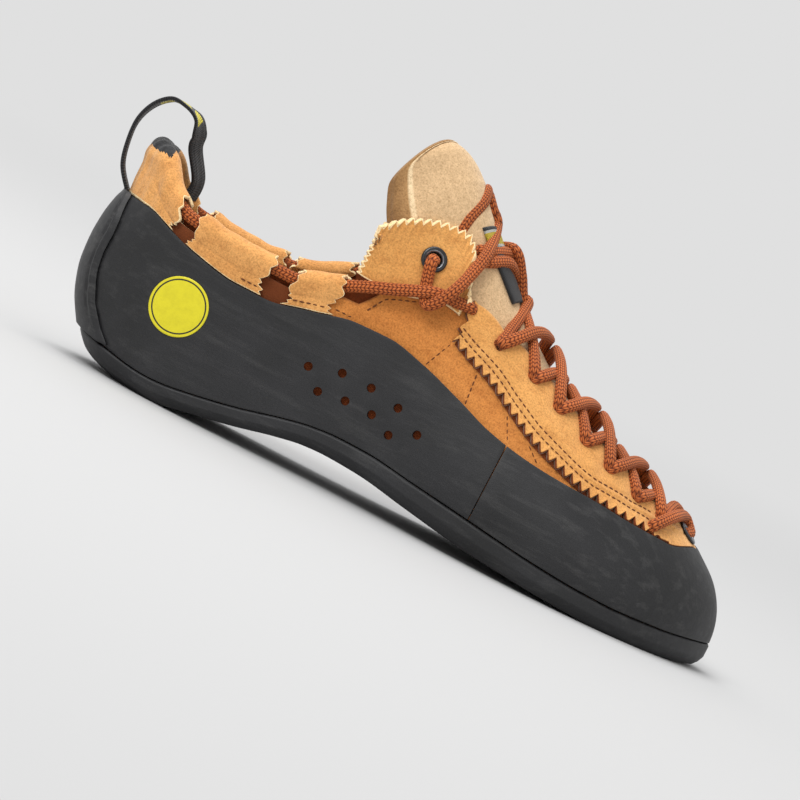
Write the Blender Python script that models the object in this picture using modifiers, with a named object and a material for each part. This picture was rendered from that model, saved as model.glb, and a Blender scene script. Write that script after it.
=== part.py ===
# Right climbing shoe, standing empty on its sole: toe to +X, medial side to +Y, floor at z = 0.
# The origin is on the floor, at the middle of the heel's flat spot. Metres.
import math

import bmesh
import bpy
import numpy as np
from mathutils import Vector

# Driving sizes of the last, measured on the outer face of the upper
LAST_LENGTH = 0.2550
BALL_WIDTH = 0.0880
INSTEP_HEIGHT = 0.0950
HEEL_SETBACK = 0.0250
HEEL_HEIGHT = 0.0600
HEEL_REST_ALONG = 0.0300

# Walls, rubber and webbing
UPPER_WALL = 0.0020
RAND_WALL = 0.0020
PATCH_WALL = 0.0015
EYESTAY_WALL = 0.0015
TAB_WALL = 0.0018
TONGUE_WALL = 0.0034
LABEL_WALL = 0.0009
INSOLE_WALL = 0.0020
GAP = 0.0004

# Sole
SOLE_SIDE = 0.0074
ARCH_RISE = 0.0111
SOLE_BEVEL = 0.0025
SOLE_STEP = 0.0004

# Holes, rings, lace and loop
VENT_DIAMETER = 0.0032
EYELET_HOLE = 0.0056
EYELET_FLANGE = 0.0094
EYELET_LIP = 0.0008
LACE_DIAMETER = 0.0046
LOOP_WIDTH = 0.0090
LOOP_THICKNESS = 0.0014
FOLD_ROOM = 0.0007
TONGUE_ROOM = 0.0009
CUFF_CLOTH = 0.0012
CUFF_INSIDE_DEPTH = 0.0130
FOLD_NECK = 0.0050
LACE_HOLE_INSET = 0.0035
THROAT_OVERHANG = 0.0012
SOLE_EDGE = 0.0006
EYELET_EDGE = 0.0004

# Heel patch: how far it reaches round the heel, and how much lower its top is there
PATCH_REACH = 0.0102
PATCH_DROP = 0.0150

# Pull loop: its span along the shoe, its rise over the rand, and its two sewn ends
LOOP_SPAN = 0.0206
LOOP_RISE = 0.0362
LOOP_FOOT = 0.0027
LOOP_END_DEPTH = 0.0055
LOOP_END_OVER = 0.0020
LOOP_END_ALONG = 0.055

# Columns and rows of the curved walls
TURNS = 24
LEVELS = 10
TIP_COLUMN = 20
STRAND_STEPS = 6
VENT_SIDES = 8
EYELET_SIDES = 14
FINE_COLUMNS = (0.5, 1.5, 2.5, 3.5, 4.5, 18.7, 19.5, 19.76, 19.92)

LATERAL = -1
MEDIAL = 1
SIDES = (LATERAL, MEDIAL)

# Eyelets: share of the length, share of the instep height
ANKLE_EYELET_ALONG = 0.419
ANKLE_EYELET_HEIGHT = 0.932
TOE_EYELET_ALONG = 0.908
TOE_EYELET_RISE = 0.955

# Sections of the last. along: share of the last's length from the heel. lateral, medial: half
# widths from the middle plane, shares of the ball width. ridge: top of the instep and toes (behind
# the tongue's top it runs on as the ankle), share of the instep height.
LAST = {
    "along":   (0.00, 0.02, 0.05, 0.10, 0.18, 0.28, 0.38, 0.48, 0.58,
                0.66, 0.72, 0.78, 0.84, 0.90, 0.94, 0.97, 0.99, 1.00),
    "lateral": (0.00, 0.155, 0.230, 0.300, 0.335, 0.345, 0.355, 0.395, 0.450,
                0.485, 0.490, 0.462, 0.400, 0.290, 0.180, 0.070, -0.035, -0.136),
    "medial":  (0.00, 0.155, 0.230, 0.295, 0.325, 0.320, 0.305, 0.310, 0.360,
                0.435, 0.490, 0.516, 0.512, 0.472, 0.416, 0.345, 0.262, 0.136),
    "ridge":   (2.15, 2.13, 2.10, 2.05, 1.90, 1.64, 1.38, 1.11, 0.880,
                0.745, 0.665, 0.595, 0.520, 0.442, 0.366, 0.300, 0.222, 0.105),
    "crown":   (0.00, 0.00, 0.00, 0.00, 0.00, 0.00, 0.00, 0.01, 0.03,
                0.05, 0.07, 0.09, 0.11, 0.13, 0.136, 0.136, 0.136, 0.136),
}

# Side view of the sole. along: share of the length. bottom: share of the arch's rise.
# side: height of the rubber's side, share of the sole's side height.
SOLE = {
    "along":  (0.00, 0.09, 0.14, 0.20, 0.27, 0.34, 0.38, 0.41, 0.46, 0.54, 0.63, 0.72, 0.80,
               0.87, 0.93, 0.965, 1.00),
    "bottom": (0.00, 0.00, 0.06, 0.23, 0.47, 0.81, 0.965, 1.00, 0.955, 0.70, 0.41, 0.22, 0.08,
               0.00, 0.00, 0.035, 0.11),
    "side":   (1.46, 1.00, 0.88, 0.86, 0.90, 0.95, 0.98, 1.03, 1.10, 1.20, 1.30, 1.22, 1.18,
               1.20, 1.24, 1.26, 1.22),
}

# The back of the heel, seen from the side. height: share of the heel's height.
# back: how far it lies in front of its backmost point, share of the heel's setback at the floor.
HEEL_BACK = {
    "height": (0.00, 0.05, 0.12, 0.22, 0.40, 0.57, 0.70, 0.81, 0.93, 1.01, 1.12, 1.25, 1.40, 2.40),
    "back":   (1.00, 0.70, 0.52, 0.36, 0.12, 0.016, 0.00, 0.016, 0.07, 0.13, 0.12, 0.12, 0.22, 0.70),
}
LEAN_REACH = 0.36

# Top edges, heights as shares of the instep height against shares of the length
RAND_TOP = {
    "along":  (0.00, 0.04, 0.08, 0.13, 0.20, 0.24, 0.31, 0.37, 0.42, 0.48, 0.54, 0.60,
               0.68, 0.77, 0.85, 0.91, 0.930),
    "height": (0.635, 0.628, 0.597, 0.560, 0.530, 0.530, 0.568, 0.604, 0.607, 0.574, 0.523,
               0.467, 0.426, 0.406, 0.383, 0.372, 0.380),
}
COLLAR = {
    "along":   (0.00, 0.03, 0.06, 0.09, 0.13, 0.20, 0.26, 0.30, 0.335),
    "lateral": (0.880, 0.850, 0.765, 0.720, 0.705, 0.690, 0.690, 0.720, 0.752),
    "medial":  (0.880, 0.850, 0.765, 0.720, 0.705, 0.690, 0.705, 0.745, 0.790),
}
THROAT = {
    "along":  (0.335, 0.37, 0.42, 0.48, 0.54, 0.60, 0.655, 0.71, 0.765, 0.81, 0.850, 0.885),
    "height": (0.700, 0.745, 0.800, 0.850, 0.795, 0.735, 0.668, 0.600, 0.540, 0.495, 0.455, 0.445),
}
EYESTAY_LOW = {
    "along":  (0.497, 0.53, 0.57, 0.61, 0.66, 0.71, 0.76, 0.82, 0.86),
    "height": (0.700, 0.660, 0.618, 0.560, 0.492, 0.446, 0.412, 0.390, 0.384),
}
ANKLE_TAB = {
    "along": (0.338, 0.352, 0.367, 0.385, 0.410, 0.430, 0.450, 0.462, 0.478, 0.490),
    "low":   (0.785, 0.780, 0.778, 0.778, 0.785, 0.793, 0.802, 0.806, 0.800, 0.790),
    "high":  (0.950, 0.990, 1.025, 1.048, 1.072, 1.078, 1.070, 1.035, 0.930, 0.835),
}
# Middles of the vent holes in the lateral side of the rand
VENTS = {
    "along":  (0.338, 0.384, 0.429, 0.474, 0.514, 0.479, 0.365, 0.405, 0.446),
    "height": (0.383, 0.417, 0.417, 0.397, 0.342, 0.294, 0.317, 0.332, 0.332),
}
# Ribs of the tongue, from its toe end to its top. edge_along, edge_height: its side edge.
# ridge_along: where the rib meets the ridge.
TONGUE = {
    "edge_along":  (0.838, 0.79, 0.72, 0.64, 0.56, 0.49, 0.425, 0.375, 0.342, 0.322, 0.318),
    "edge_height": (0.440, 0.455, 0.505, 0.590, 0.680, 0.740, 0.780, 0.830, 0.930, 1.050, 1.130),
    "ridge_along": (0.858, 0.805, 0.735, 0.665, 0.600, 0.545, 0.500, 0.465, 0.438, 0.415, 0.395),
}
# Way of the pull loop between its ends. forward, inward: shares of its span. up: share of its rise.
LOOP_WAY = {
    "forward": (-0.097, -0.223, 0.024, 0.456, 0.820, 1.000),
    "inward":  (0.000, 0.000, 0.000, 0.0485, 0.243, 0.413),
    "up":      (0.378, 0.682, 0.917, 1.000, 0.876, 0.682),
}
# Way of the cuff's lace from the folds to the tongue, on each side. lift: metres above where it
# leaves the fold. out: 0 inside the wall, 1 outside the ankle tab.
ANKLE_WAY = {
    "along": (0.338, 0.357, 0.378, 0.410, 0.455, 0.480, 0.491),
    "lift":  (0.0000, 0.0005, 0.0020, 0.0055, 0.0100, 0.0135, 0.0200),
    "out":   (0.00, 0.50, 1.00, 1.00, 1.00, 1.00, 1.00),
}
ANKLE_CROWN_ALONG = 0.492
# The two strands that go once more over the tongue, and how far up the tab they run
TOP_STRANDS = (0.446, 0.466)
TOP_STRAND_LIFTS = (0.0100, 0.0220, 0.0340)
TOP_STRAND_LEAN = 0.010
CROSSINGS = (0.505, 0.557, 0.618, 0.667, 0.720, 0.766, 0.817, 0.862)
CUFF_GAPS = {LATERAL: (0.085, 0.112, 0.235, 0.268), MEDIAL: (0.085, 0.112, 0.238, 0.250)}
CUFF_END = 0.330
SEAM_ALONG = 0.628
THROAT_END_ALONG = 0.885


def clear_scene():
    for obj in list(bpy.data.objects):
        bpy.data.objects.remove(obj, do_unlink=True)


def new_collection(name):
    collection = bpy.data.collections.new(name)
    bpy.context.scene.collection.children.link(collection)
    return collection


def material(name, colour, roughness, metallic=0.0):
    result = bpy.data.materials.new(name)
    result.use_nodes = True
    shader = result.node_tree.nodes["Principled BSDF"]
    shader.inputs["Base Color"].default_value = (*colour, 1.0)
    shader.inputs["Roughness"].default_value = roughness
    shader.inputs["Metallic"].default_value = metallic
    result.diffuse_color = (*colour, 1.0)
    return result


def read(table, column, place, key="along"):
    """Value of a table's column at a place, on a smooth curve that never overshoots its rows."""
    xs = np.array(table[key])
    ys = np.array(table[column])
    place = min(max(place, xs[0]), xs[-1])
    steps = np.diff(xs)
    slopes = np.diff(ys) / steps
    row = min(int(np.searchsorted(xs, place, side="right")) - 1, len(steps) - 1)

    def slope_at(i):
        if i == 0 or i == len(xs) - 1:
            return slopes[min(i, len(slopes) - 1)]
        before, after = slopes[i - 1], slopes[i]
        if before * after <= 0.0:
            return 0.0
        w1 = 2.0 * steps[i] + steps[i - 1]
        w2 = steps[i] + 2.0 * steps[i - 1]
        return (w1 + w2) / (w1 / before + w2 / after)

    h = steps[row]
    f = (place - xs[row]) / h
    m0, m1 = slope_at(row), slope_at(row + 1)
    return float(ys[row] * (2 * f**3 - 3 * f**2 + 1) + h * m0 * (f**3 - 2 * f**2 + f)
                 + ys[row + 1] * (3 * f**2 - 2 * f**3) + h * m1 * (f**3 - f**2))


def turn_of(along):
    """Share of the half turn round the foot that belongs to a share of its length."""
    return math.acos(1.0 - 2.0 * min(max(along, 0.0), 1.0)) / math.pi


def along_of(turn):
    return (1.0 - math.cos(math.pi * turn)) / 2.0


SHARED_TURNS = sorted([c / TURNS for c in list(range(TURNS + 1)) + list(FINE_COLUMNS)])
TOE_TIP_ALONG = along_of(TIP_COLUMN / TURNS)
LEATHER_TIP_ALONG = along_of(FINE_COLUMNS[-1] / TURNS)
TURN_TABLE = dict(LAST, turn=tuple(turn_of(a) for a in LAST["along"]))


def sole_bottom(along):
    return ARCH_RISE * read(SOLE, "bottom", along)


def feather(along):
    """Height of the line where rand and outsole meet."""
    return sole_bottom(along) + SOLE_SIDE * read(SOLE, "side", along)


def ridge(along):
    return INSTEP_HEIGHT * read(TURN_TABLE, "ridge", turn_of(along), "turn")


def rise(along, z):
    """Share of the way up a section, as a quarter turn from the feather line to the ridge."""
    low = feather(along)
    share = min(max((z - low) / max(ridge(along) - low, 1e-6), 0.0), 1.0)
    return math.asin(min(share ** 0.91, 1.0)) / (math.pi / 2.0)


def height(along, up):
    low = feather(along)
    return low + (ridge(along) - low) * math.sin(up * math.pi / 2.0) ** 1.1


def levels_at(along):
    """Heights of the rows that all walls share in one column, closer together low at the heel."""
    crowd = 2.0 - min(max((along - 0.25) / 0.30, 0.0), 1.0)
    even = [(j / LEVELS) ** crowd for j in range(LEVELS + 1)]
    return sorted(even + [rise(along, rand_high(along))])


def skin(turn, up, side, drop=0.0):
    """Point on the outer face of the upper; drop takes it straight down below the feather line."""
    along = along_of(turn)
    z = height(along, up) - drop
    middle = BALL_WIDTH * read(TURN_TABLE, "crown", turn, "turn")
    column = "lateral" if side == LATERAL else "medial"
    edge = side * BALL_WIDTH * read(TURN_TABLE, column, turn, "turn")
    tuck = 1.0 - 0.05 * max(0.0, 1.0 - up / 0.25) ** 2
    narrow = max(math.cos(up * math.pi / 2.0), 0.0) ** 0.86 * tuck
    fade = max(1.0 - along / LEAN_REACH, 0.0) ** 1.5
    back = HEEL_SETBACK * read(HEEL_BACK, "back", z / HEEL_HEIGHT, "height")
    x = along * LAST_LENGTH + back * fade
    return Vector((x, middle + (edge - middle) * narrow, z))


def one_side_normal(turn, up, side, drop):
    step = 0.004
    t0, t1 = max(turn - step, 0.0), min(turn + step, 0.997)
    u0, u1 = max(up - 0.01, 0.0), min(up + 0.01, 1.0)
    along_skin = skin(t1, up, side, drop) - skin(min(t0, t1 - step), up, side, drop)
    up_skin = skin(turn, u1, side, drop) - skin(turn, u0, side, drop)
    return (along_skin.cross(up_skin) * -side).normalized()


def skin_normal(turn, up, side, drop=0.0):
    if turn > 0.9999:
        return Vector((1.0, 0.0, 0.0))
    turn = min(turn, 0.985)
    normal = one_side_normal(turn, up, side, drop)
    if turn < 0.001 or up > 0.999:
        other = one_side_normal(turn, up, -side, drop)
        normal = (normal + other).normalized()
        if turn < 0.001:
            normal.y = 0.0
    return normal.normalized()


def off_skin(turn, up, side, distance, drop=0.0):
    point = skin(turn, up, side, drop)
    if turn > 0.9999:
        point.z = height(1.0, 0.0) - drop
    return point + skin_normal(turn, up, side, drop) * distance


def foot_rise(turn, side, distance, low_z, bottom):
    """Rise at which a face this far off the skin stands at a height."""
    under, over = bottom, bottom + 0.25
    for _ in range(14):
        middle = (under + over) / 2.0
        if off_skin(turn, middle, side, distance).z < low_z:
            under = middle
        else:
            over = middle
    return over


def to_rest(point):
    """From the last's own frame to the part's, whose origin is under the heel."""
    return Vector((point.x - HEEL_REST_ALONG, point.y, point.z))


def mesh_object(name, verts, faces, look, collection, merge=0.00002):
    mesh = bpy.data.meshes.new(name)
    bm = bmesh.new()
    made = [bm.verts.new(to_rest(v)) for v in verts]
    for face in faces:
        corners = [made[i] for i in face]
        if len(set(corners)) == len(corners):
            bm.faces.new(corners)
    bmesh.ops.remove_doubles(bm, verts=bm.verts, dist=merge)
    bmesh.ops.dissolve_degenerate(bm, dist=merge, edges=bm.edges)
    bmesh.ops.recalc_face_normals(bm, faces=bm.faces)
    bm.to_mesh(mesh)
    bm.free()
    mesh.shade_smooth()
    mesh.set_sharp_from_angle(angle=math.radians(40.0))
    mesh.materials.append(look)
    obj = bpy.data.objects.new(name, mesh)
    collection.objects.link(obj)
    return obj


def columns_between(first, last):
    """Turns of a wall's columns: the shared ones of the whole shoe between its own two ends."""
    start, end = turn_of(first), turn_of(last)
    inner = [t for t in SHARED_TURNS if start + 0.05 / TURNS < t < end - 0.05 / TURNS]
    return [start] + inner + [end]


def wall(name, first, last, low, high, inner, outer, look, collection, sides=SIDES):
    """A curved wall on the last between two edge lines, from one share of the length to another.
    Where it reaches the ridge, both sides join, and so they do at the heel's middle. All walls
    share their columns and rows, so walls that lie on each other keep one clearance all over."""
    verts, faces = [], []
    for side in sides:
        grid = []
        joined = []
        for turn in columns_between(first, last):
            along = along_of(turn)
            low_z = low(along, side)
            bottom = rise(along, low_z)
            top = rise(along, high(along, side))
            joined.append(top > 0.999 or turn > 0.999)
            column = []
            for distance in (inner, outer):
                line = []
                foot = bottom
                if low == rand_low and turn < 0.999:
                    foot = foot_rise(turn, side, distance, low_z, bottom)
                for level in levels_at(along):
                    line.append(len(verts))
                    verts.append(off_skin(turn, min(max(level, foot), top), side, distance))
                column.append(line)
            grid.append(column)
        for i in range(len(grid) - 1):
            a, b = grid[i], grid[i + 1]
            for row in range(len(a[0]) - 1):
                for face in (1, 0):
                    near, far = a[face], b[face]
                    faces.append((near[row], far[row], far[row + 1]))
                    faces.append((near[row], far[row + 1], near[row + 1]))
            faces.append((a[0][0], b[0][0], b[1][0], a[1][0]))
            if not (joined[i] and joined[i + 1]):
                faces.append((a[0][-1], a[1][-1], b[1][-1], b[0][-1]))
        caps = []
        if not (first <= 0.0 and len(sides) == 2):
            caps.append(grid[0])
        if last < 1.0:
            caps.append(grid[-1])
        for column in caps:
            for row in range(len(column[0]) - 1):
                faces.append((column[0][row], column[0][row + 1],
                              column[1][row + 1], column[1][row]))
    return mesh_object(name, verts, faces, look, collection)


def loft(name, rings, look, collection, closed=True, capped=True):
    """Skin over rings of points, with flat ends."""
    count = len(rings[0])
    verts = [point for ring in rings for point in ring]
    faces = []
    around = count if closed else count - 1
    for i in range(len(rings) - 1):
        for j in range(around):
            k = (j + 1) % count
            faces.append((i * count + j, i * count + k, (i + 1) * count + k, (i + 1) * count + j))
    if capped:
        faces.append(tuple(reversed(range(count))))
        faces.append(tuple(range((len(rings) - 1) * count, len(rings) * count)))
    return mesh_object(name, verts, faces, look, collection)


def rand_low(along, side=None):
    return feather(along) + GAP


def round_tip(along, z, tip):
    """An edge line that leaves its height z and runs round the toe end of the throat to the ridge."""
    share = min(max((along - THROAT_END_ALONG) / (tip - THROAT_END_ALONG), 0.0), 1.0)
    up = rise(along, z)
    return height(along, up + (1.0 - up) * (1.0 - math.sqrt(1.0 - share * share)))


def rand_high(along, side=None):
    z = INSTEP_HEIGHT * read(RAND_TOP, "height", along)
    if along <= THROAT_END_ALONG:
        return z
    return ridge(along) if along > TOE_TIP_ALONG - 1e-6 else round_tip(along, z, TOE_TIP_ALONG)


def collar(along, side):
    return INSTEP_HEIGHT * read(COLLAR, "lateral" if side == LATERAL else "medial", along)


def fold_radius():
    """From the lace's middle to the outside of the fold that it runs in."""
    return LACE_DIAMETER / 2.0 + FOLD_ROOM + CUFF_CLOTH


def fold_stretch(along, side):
    """How much taller than wide the fold's section is where the collar climbs."""
    turn = turn_of(along)
    before, after = max(turn - 0.02, 0.0), turn + 0.02
    run = skin(after, 0.2, side) - skin(before, 0.2, side)
    climb = collar(along_of(after), side) - collar(along_of(before), side)
    return math.sqrt(1.0 + (climb / math.hypot(run.x, run.y)) ** 2)


def lace_height(along, side):
    """Height of the lace's middle in the cuff's fold."""
    return collar(along, side) - fold_radius() * fold_stretch(along, side)


def throat(along):
    return INSTEP_HEIGHT * read(THROAT, "height", along)


def opening(along, side):
    """Top edge of the upper: under the cuff's fold, then along the throat, then over the toes."""
    if along >= THROAT_END_ALONG:
        return ridge(along)
    stretch = fold_stretch(along, side)
    under_fold = collar(along, side) - (fold_radius() + LACE_DIAMETER / 2.0) * stretch
    under_fold -= 2.0 * FOLD_ROOM
    blend = min(max((along - CUFF_END - 0.03) / 0.03, 0.0), 1.0)
    return under_fold * (1.0 - blend) + (throat(along) - THROAT_OVERHANG) * blend


def eyestay_low(along, side):
    if along > LEATHER_TIP_ALONG - 1e-6:
        return ridge(along)
    if along > THROAT_END_ALONG:
        z = INSTEP_HEIGHT * read(RAND_TOP, "height", along) + GAP
        return round_tip(along, z, LEATHER_TIP_ALONG)
    line = INSTEP_HEIGHT * read(EYESTAY_LOW, "height", along)
    return max(line, rand_high(along, side) + GAP)


def eyestay_high(along, side):
    if along >= THROAT_END_ALONG:
        return ridge(along)
    return throat(along)


def build_upper(look, collection):
    return wall("upper", 0.0, 1.0, rand_low, opening, -UPPER_WALL, 0.0, look, collection)


def build_rands(look, collection):
    inner = GAP
    outer = GAP + RAND_WALL
    seam = GAP / LAST_LENGTH / 2.0
    side_rand = wall("side_rand", 0.0, SEAM_ALONG - seam, rand_low, rand_high, inner, outer,
                     look, collection)
    wall("toe_rand", SEAM_ALONG + seam, 1.0, rand_low, rand_high, inner, outer,
         look, collection)
    return side_rand


def patch_high(along, side):
    reach = min(LAST_LENGTH * along / PATCH_REACH, 1.0)
    return rand_high(0.0) - PATCH_DROP * reach ** 1.5


def build_heel_patch(look, collection):
    inner = RAND_WALL + 2.0 * GAP
    return wall("heel_patch", 0.0, PATCH_REACH / LAST_LENGTH, rand_low, patch_high, inner, inner + PATCH_WALL,
                look, collection)


def build_outsole(look, collection):
    """Sections across the sole: flat top, side wall, bevel and flat bottom."""
    side_face = GAP + RAND_WALL + SOLE_STEP
    heel_face = RAND_WALL + 2.0 * GAP + PATCH_WALL
    rings = []
    for turn in SHARED_TURNS:
        along = along_of(turn)
        top = feather(along)
        bottom = sole_bottom(along)
        at_heel = min(max((0.075 - along) / 0.04, 0.0), 1.0)
        face = side_face + (heel_face - side_face) * at_heel
        levels = ((top, face - SOLE_EDGE), (top - SOLE_EDGE, face), (bottom + SOLE_BEVEL, face),
                  (bottom, face - SOLE_BEVEL))
        lateral = [off_skin(turn, 0.0, LATERAL, d, top - z) for z, d in levels]
        medial = [off_skin(turn, 0.0, MEDIAL, d, top - z) for z, d in reversed(levels)]
        for point, (z, _) in zip(lateral + medial, list(levels) + list(reversed(levels))):
            point.z = z
        rings.append(lateral + medial)
    return loft("outsole", rings, look, collection, capped=False)


def build_insole(look, collection):
    edge = -(UPPER_WALL + 2.0 * GAP)
    rings = []
    for turn in SHARED_TURNS:
        base = feather(along_of(turn)) + GAP
        ring = []
        for side, lift in ((LATERAL, INSOLE_WALL), (LATERAL, 0.0), (MEDIAL, 0.0),
                           (MEDIAL, INSOLE_WALL)):
            point = off_skin(turn, 0.0, side, edge)
            point.z = base + lift
            ring.append(point)
        rings.append(ring)
    return loft("insole", rings, look, collection, capped=False)


def tongue_grid(inner, outer, first_rib, last_rib, across, steps):
    """Points of a piece on the tongue's ribs: inner and outer faces, rib by rib, edge to edge."""
    grid = []
    for i in range(steps + 1):
        rib = first_rib + (last_rib - first_rib) * i / steps
        edge_along = read(TONGUE_BY_RIB, "edge_along", rib, "rib")
        edge_z = INSTEP_HEIGHT * read(TONGUE_BY_RIB, "edge_height", rib, "rib")
        ridge_turn = turn_of(read(TONGUE_BY_RIB, "ridge_along", rib, "rib"))
        edge_turn = turn_of(edge_along)
        edge_up = rise(edge_along, edge_z)
        pair = []
        for distance in (inner, outer):
            line = []
            for share in across:
                out = abs(share)
                side = LATERAL if share < 0.0 else MEDIAL
                turn = ridge_turn + (edge_turn - ridge_turn) * out ** 1.5
                up = 1.0 + (edge_up - 1.0) * out
                line.append(off_skin(turn, up, side, distance))
            pair.append(line)
        grid.append(pair)
    return grid


def build_on_tongue(name, inner, outer, first_rib, last_rib, across, steps, look, collection):
    rings = []
    for inside, outside in tongue_grid(inner, outer, first_rib, last_rib, across, steps):
        rings.append(outside + list(reversed(inside)))
    return loft(name, rings, look, collection)


TONGUE_BY_RIB = dict(TONGUE, rib=tuple(range(len(TONGUE["edge_along"]))))


def build_tongue(look, label_look, collection):
    across = [i / 6.0 for i in range(-6, 7)]
    outer = -(UPPER_WALL + TONGUE_ROOM)
    build_on_tongue("tongue", outer - TONGUE_WALL, outer, 0, 10, across, 15, look, collection)
    label = [i / 12.0 for i in range(-3, 4)]
    build_on_tongue("tongue_label", outer + GAP, outer + GAP + LABEL_WALL, 4.2, 5.5, label, 4,
                    label_look, collection)


def build_eyestay(look, collection):
    return wall("eyestay", EYESTAY_LOW["along"][0], LEATHER_TIP_ALONG, eyestay_low, eyestay_high,
                GAP, GAP + EYESTAY_WALL, look, collection)


def build_ankle_tabs(look, collection):
    made = []
    for side, label in ((LATERAL, "lateral"), (MEDIAL, "medial")):
        def low(along, _):
            return INSTEP_HEIGHT * read(ANKLE_TAB, "low", along)

        def high(along, _):
            return INSTEP_HEIGHT * read(ANKLE_TAB, "high", along)

        made.append(wall(f"ankle_tab_{label}", ANKLE_TAB["along"][0], ANKLE_TAB["along"][-1],
                         low, high, GAP, GAP + TAB_WALL, look, collection, (side,)))
    return made


def mesh_from_curve(curve_obj, collection):
    """A curve's solid as a mesh object, with its end caps welded on."""
    name = curve_obj.name
    evaluated = curve_obj.evaluated_get(bpy.context.evaluated_depsgraph_get())
    mesh = bpy.data.meshes.new_from_object(evaluated)
    bm = bmesh.new()
    bm.from_mesh(mesh)
    bmesh.ops.remove_doubles(bm, verts=bm.verts, dist=0.00001)
    bm.to_mesh(mesh)
    bm.free()
    matrix = curve_obj.matrix_world.copy()
    bpy.data.objects.remove(curve_obj, do_unlink=True)
    obj = bpy.data.objects.new(name, mesh)
    obj.matrix_world = matrix
    collection.objects.link(obj)
    return obj


def cord(name, points, look, collection, closed=False):
    """A round lace through points of the last's frame."""
    curve = bpy.data.curves.new(name, "CURVE")
    curve.dimensions = "3D"
    curve.bevel_depth = LACE_DIAMETER / 2.0
    curve.bevel_resolution = 2
    curve.use_fill_caps = True
    spline = curve.splines.new("POLY")
    spline.points.add(len(points) - 1)
    for spot, point in zip(spline.points, points):
        spot.co = (*to_rest(point), 1.0)
    spline.use_cyclic_u = closed
    curve.materials.append(look)
    obj = bpy.data.objects.new(name, curve)
    collection.objects.link(obj)
    bpy.context.view_layer.update()
    return obj


def smooth_through(stops, count, closed=False):
    """Evenly shared points on one smooth curve through the stops."""
    total = len(stops)
    spans = total if closed else total - 1
    points = []
    for i in range(count + (0 if closed else 1)):
        place = i / count * spans
        k = min(int(place), spans - 1)
        f = place - k
        if closed:
            p0, p1, p2, p3 = (stops[(k + d) % total] for d in (-1, 0, 1, 2))
        else:
            p0, p1, p2, p3 = (stops[min(max(k + d, 0), total - 1)] for d in (-1, 0, 1, 2))
        points.append(p1 + 0.5 * f * ((p2 - p0) + f * ((2 * p0 - 5 * p1 + 4 * p2 - p3)
                                                      + f * (3 * (p1 - p2) + p3 - p0))))
    return points


def boolean(target, other, operation, cutters):
    cutters.objects.link(other)
    for collection in list(other.users_collection):
        if collection != cutters:
            collection.objects.unlink(other)
    other.display_type = "WIRE"
    other.hide_render = True
    modifier = target.modifiers.new(operation.lower(), "BOOLEAN")
    modifier.operation = operation
    modifier.object = other


def lace_centre():
    """How far the lace's middle lies off the upper's face where it crosses the eyestay."""
    return GAP + EYESTAY_WALL + GAP + LACE_DIAMETER / 2.0


def lace_hole(along, side):
    """Turn and rise of a lace hole, a little below the throat's edge."""
    return turn_of(along), rise(along, throat(along) - LACE_HOLE_INSET), side


def strand(from_hole, to_hole, hump, sag):
    """Points of a strand over the tongue, from one lace hole to another."""
    (turn_a, up_a, side_a), (turn_b, up_b, side_b) = from_hole, to_hole
    points = []
    for i in range(STRAND_STEPS + 1):
        q = i / STRAND_STEPS
        if q <= 0.5:
            up = up_a + (1.0 - up_a) * q * 2.0
            side = side_a
        else:
            up = 1.0 + (up_b - 1.0) * (q * 2.0 - 1.0)
            side = side_b
        turn = turn_a + (turn_b - turn_a) * q
        middle = 1.0 - abs(2.0 * q - 1.0)
        distance = lace_centre() + hump * middle - sag * (1.0 - middle) ** 4
        points.append(off_skin(turn, up, side, distance))
    return points


def build_crossings(look, collection, cutters):
    apart = (LACE_DIAMETER / 2.0 + GAP) / LAST_LENGTH
    for i in range(len(CROSSINGS) - 1):
        near, far = CROSSINGS[i] + apart, CROSSINGS[i + 1] - apart
        first = cord(f"lace_crossing_{i + 1}",
                     strand(lace_hole(near, LATERAL), lace_hole(far, MEDIAL), 0.0010, 0.0),
                     look, collection)
        second = cord(f"lace_under_{i + 1}",
                      strand(lace_hole(near, MEDIAL), lace_hole(far, LATERAL), 0.0, 0.0),
                      look, collection)
        first = mesh_from_curve(first, collection)
        second = mesh_from_curve(second, collection)
        boolean(first, second, "UNION", cutters)


def fold_section(along, side):
    """Ring of points round the folded cuff strip: outer leg, fold over the lace, inner leg."""
    turn = turn_of(along)
    top = collar(along, side)
    leg = rand_high(along, side) + GAP
    inside_low = top - CUFF_INSIDE_DEPTH
    shell = fold_radius()
    tube = shell - CUFF_CLOTH
    stretch = fold_stretch(along, side)
    lace_z = lace_height(along, side)
    middle = -UPPER_WALL / 2.0
    neck = lace_z - FOLD_NECK
    leg_out = FOLD_ROOM + CUFF_CLOTH
    leg_in = -UPPER_WALL - FOLD_ROOM
    ring = [(leg_out, leg), (leg_out, neck)]
    ring += [(middle + shell * math.cos(a), lace_z + shell * stretch * math.sin(a))
             for a in (0.0, 0.79, 1.57, 2.36, math.pi)]
    ring += [(leg_in - CUFF_CLOTH, neck), (leg_in - CUFF_CLOTH, inside_low), (leg_in, inside_low),
             (leg_in, neck)]
    ring += [(middle + tube * math.cos(a), lace_z + tube * stretch * math.sin(a))
             for a in (math.pi, 2.36, 1.57, 0.79, 0.0)]
    ring += [(FOLD_ROOM, neck), (FOLD_ROOM, leg)]
    points = []
    for distance, z in ring:
        point = off_skin(turn, rise(along, min(z, lace_z)), side, distance)
        point.z = z
        points.append(point)
    return points


def build_cuff_strip(name, first, last, side, look, collection):
    rings = [fold_section(along_of(turn), side) for turn in columns_between(first, last)]
    return loft(name, rings, look, collection)


def build_heel_strip(gap_start, look, collection):
    """The strip that runs round the heel, from one side's gap to the other's."""
    stops = [along_of(turn) for turn in columns_between(0.0, gap_start)]
    rings = [fold_section(a, LATERAL) for a in reversed(stops)]
    rings += [fold_section(a, MEDIAL) for a in stops[1:]]
    return loft("cuff_heel", rings, look, collection)


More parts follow.
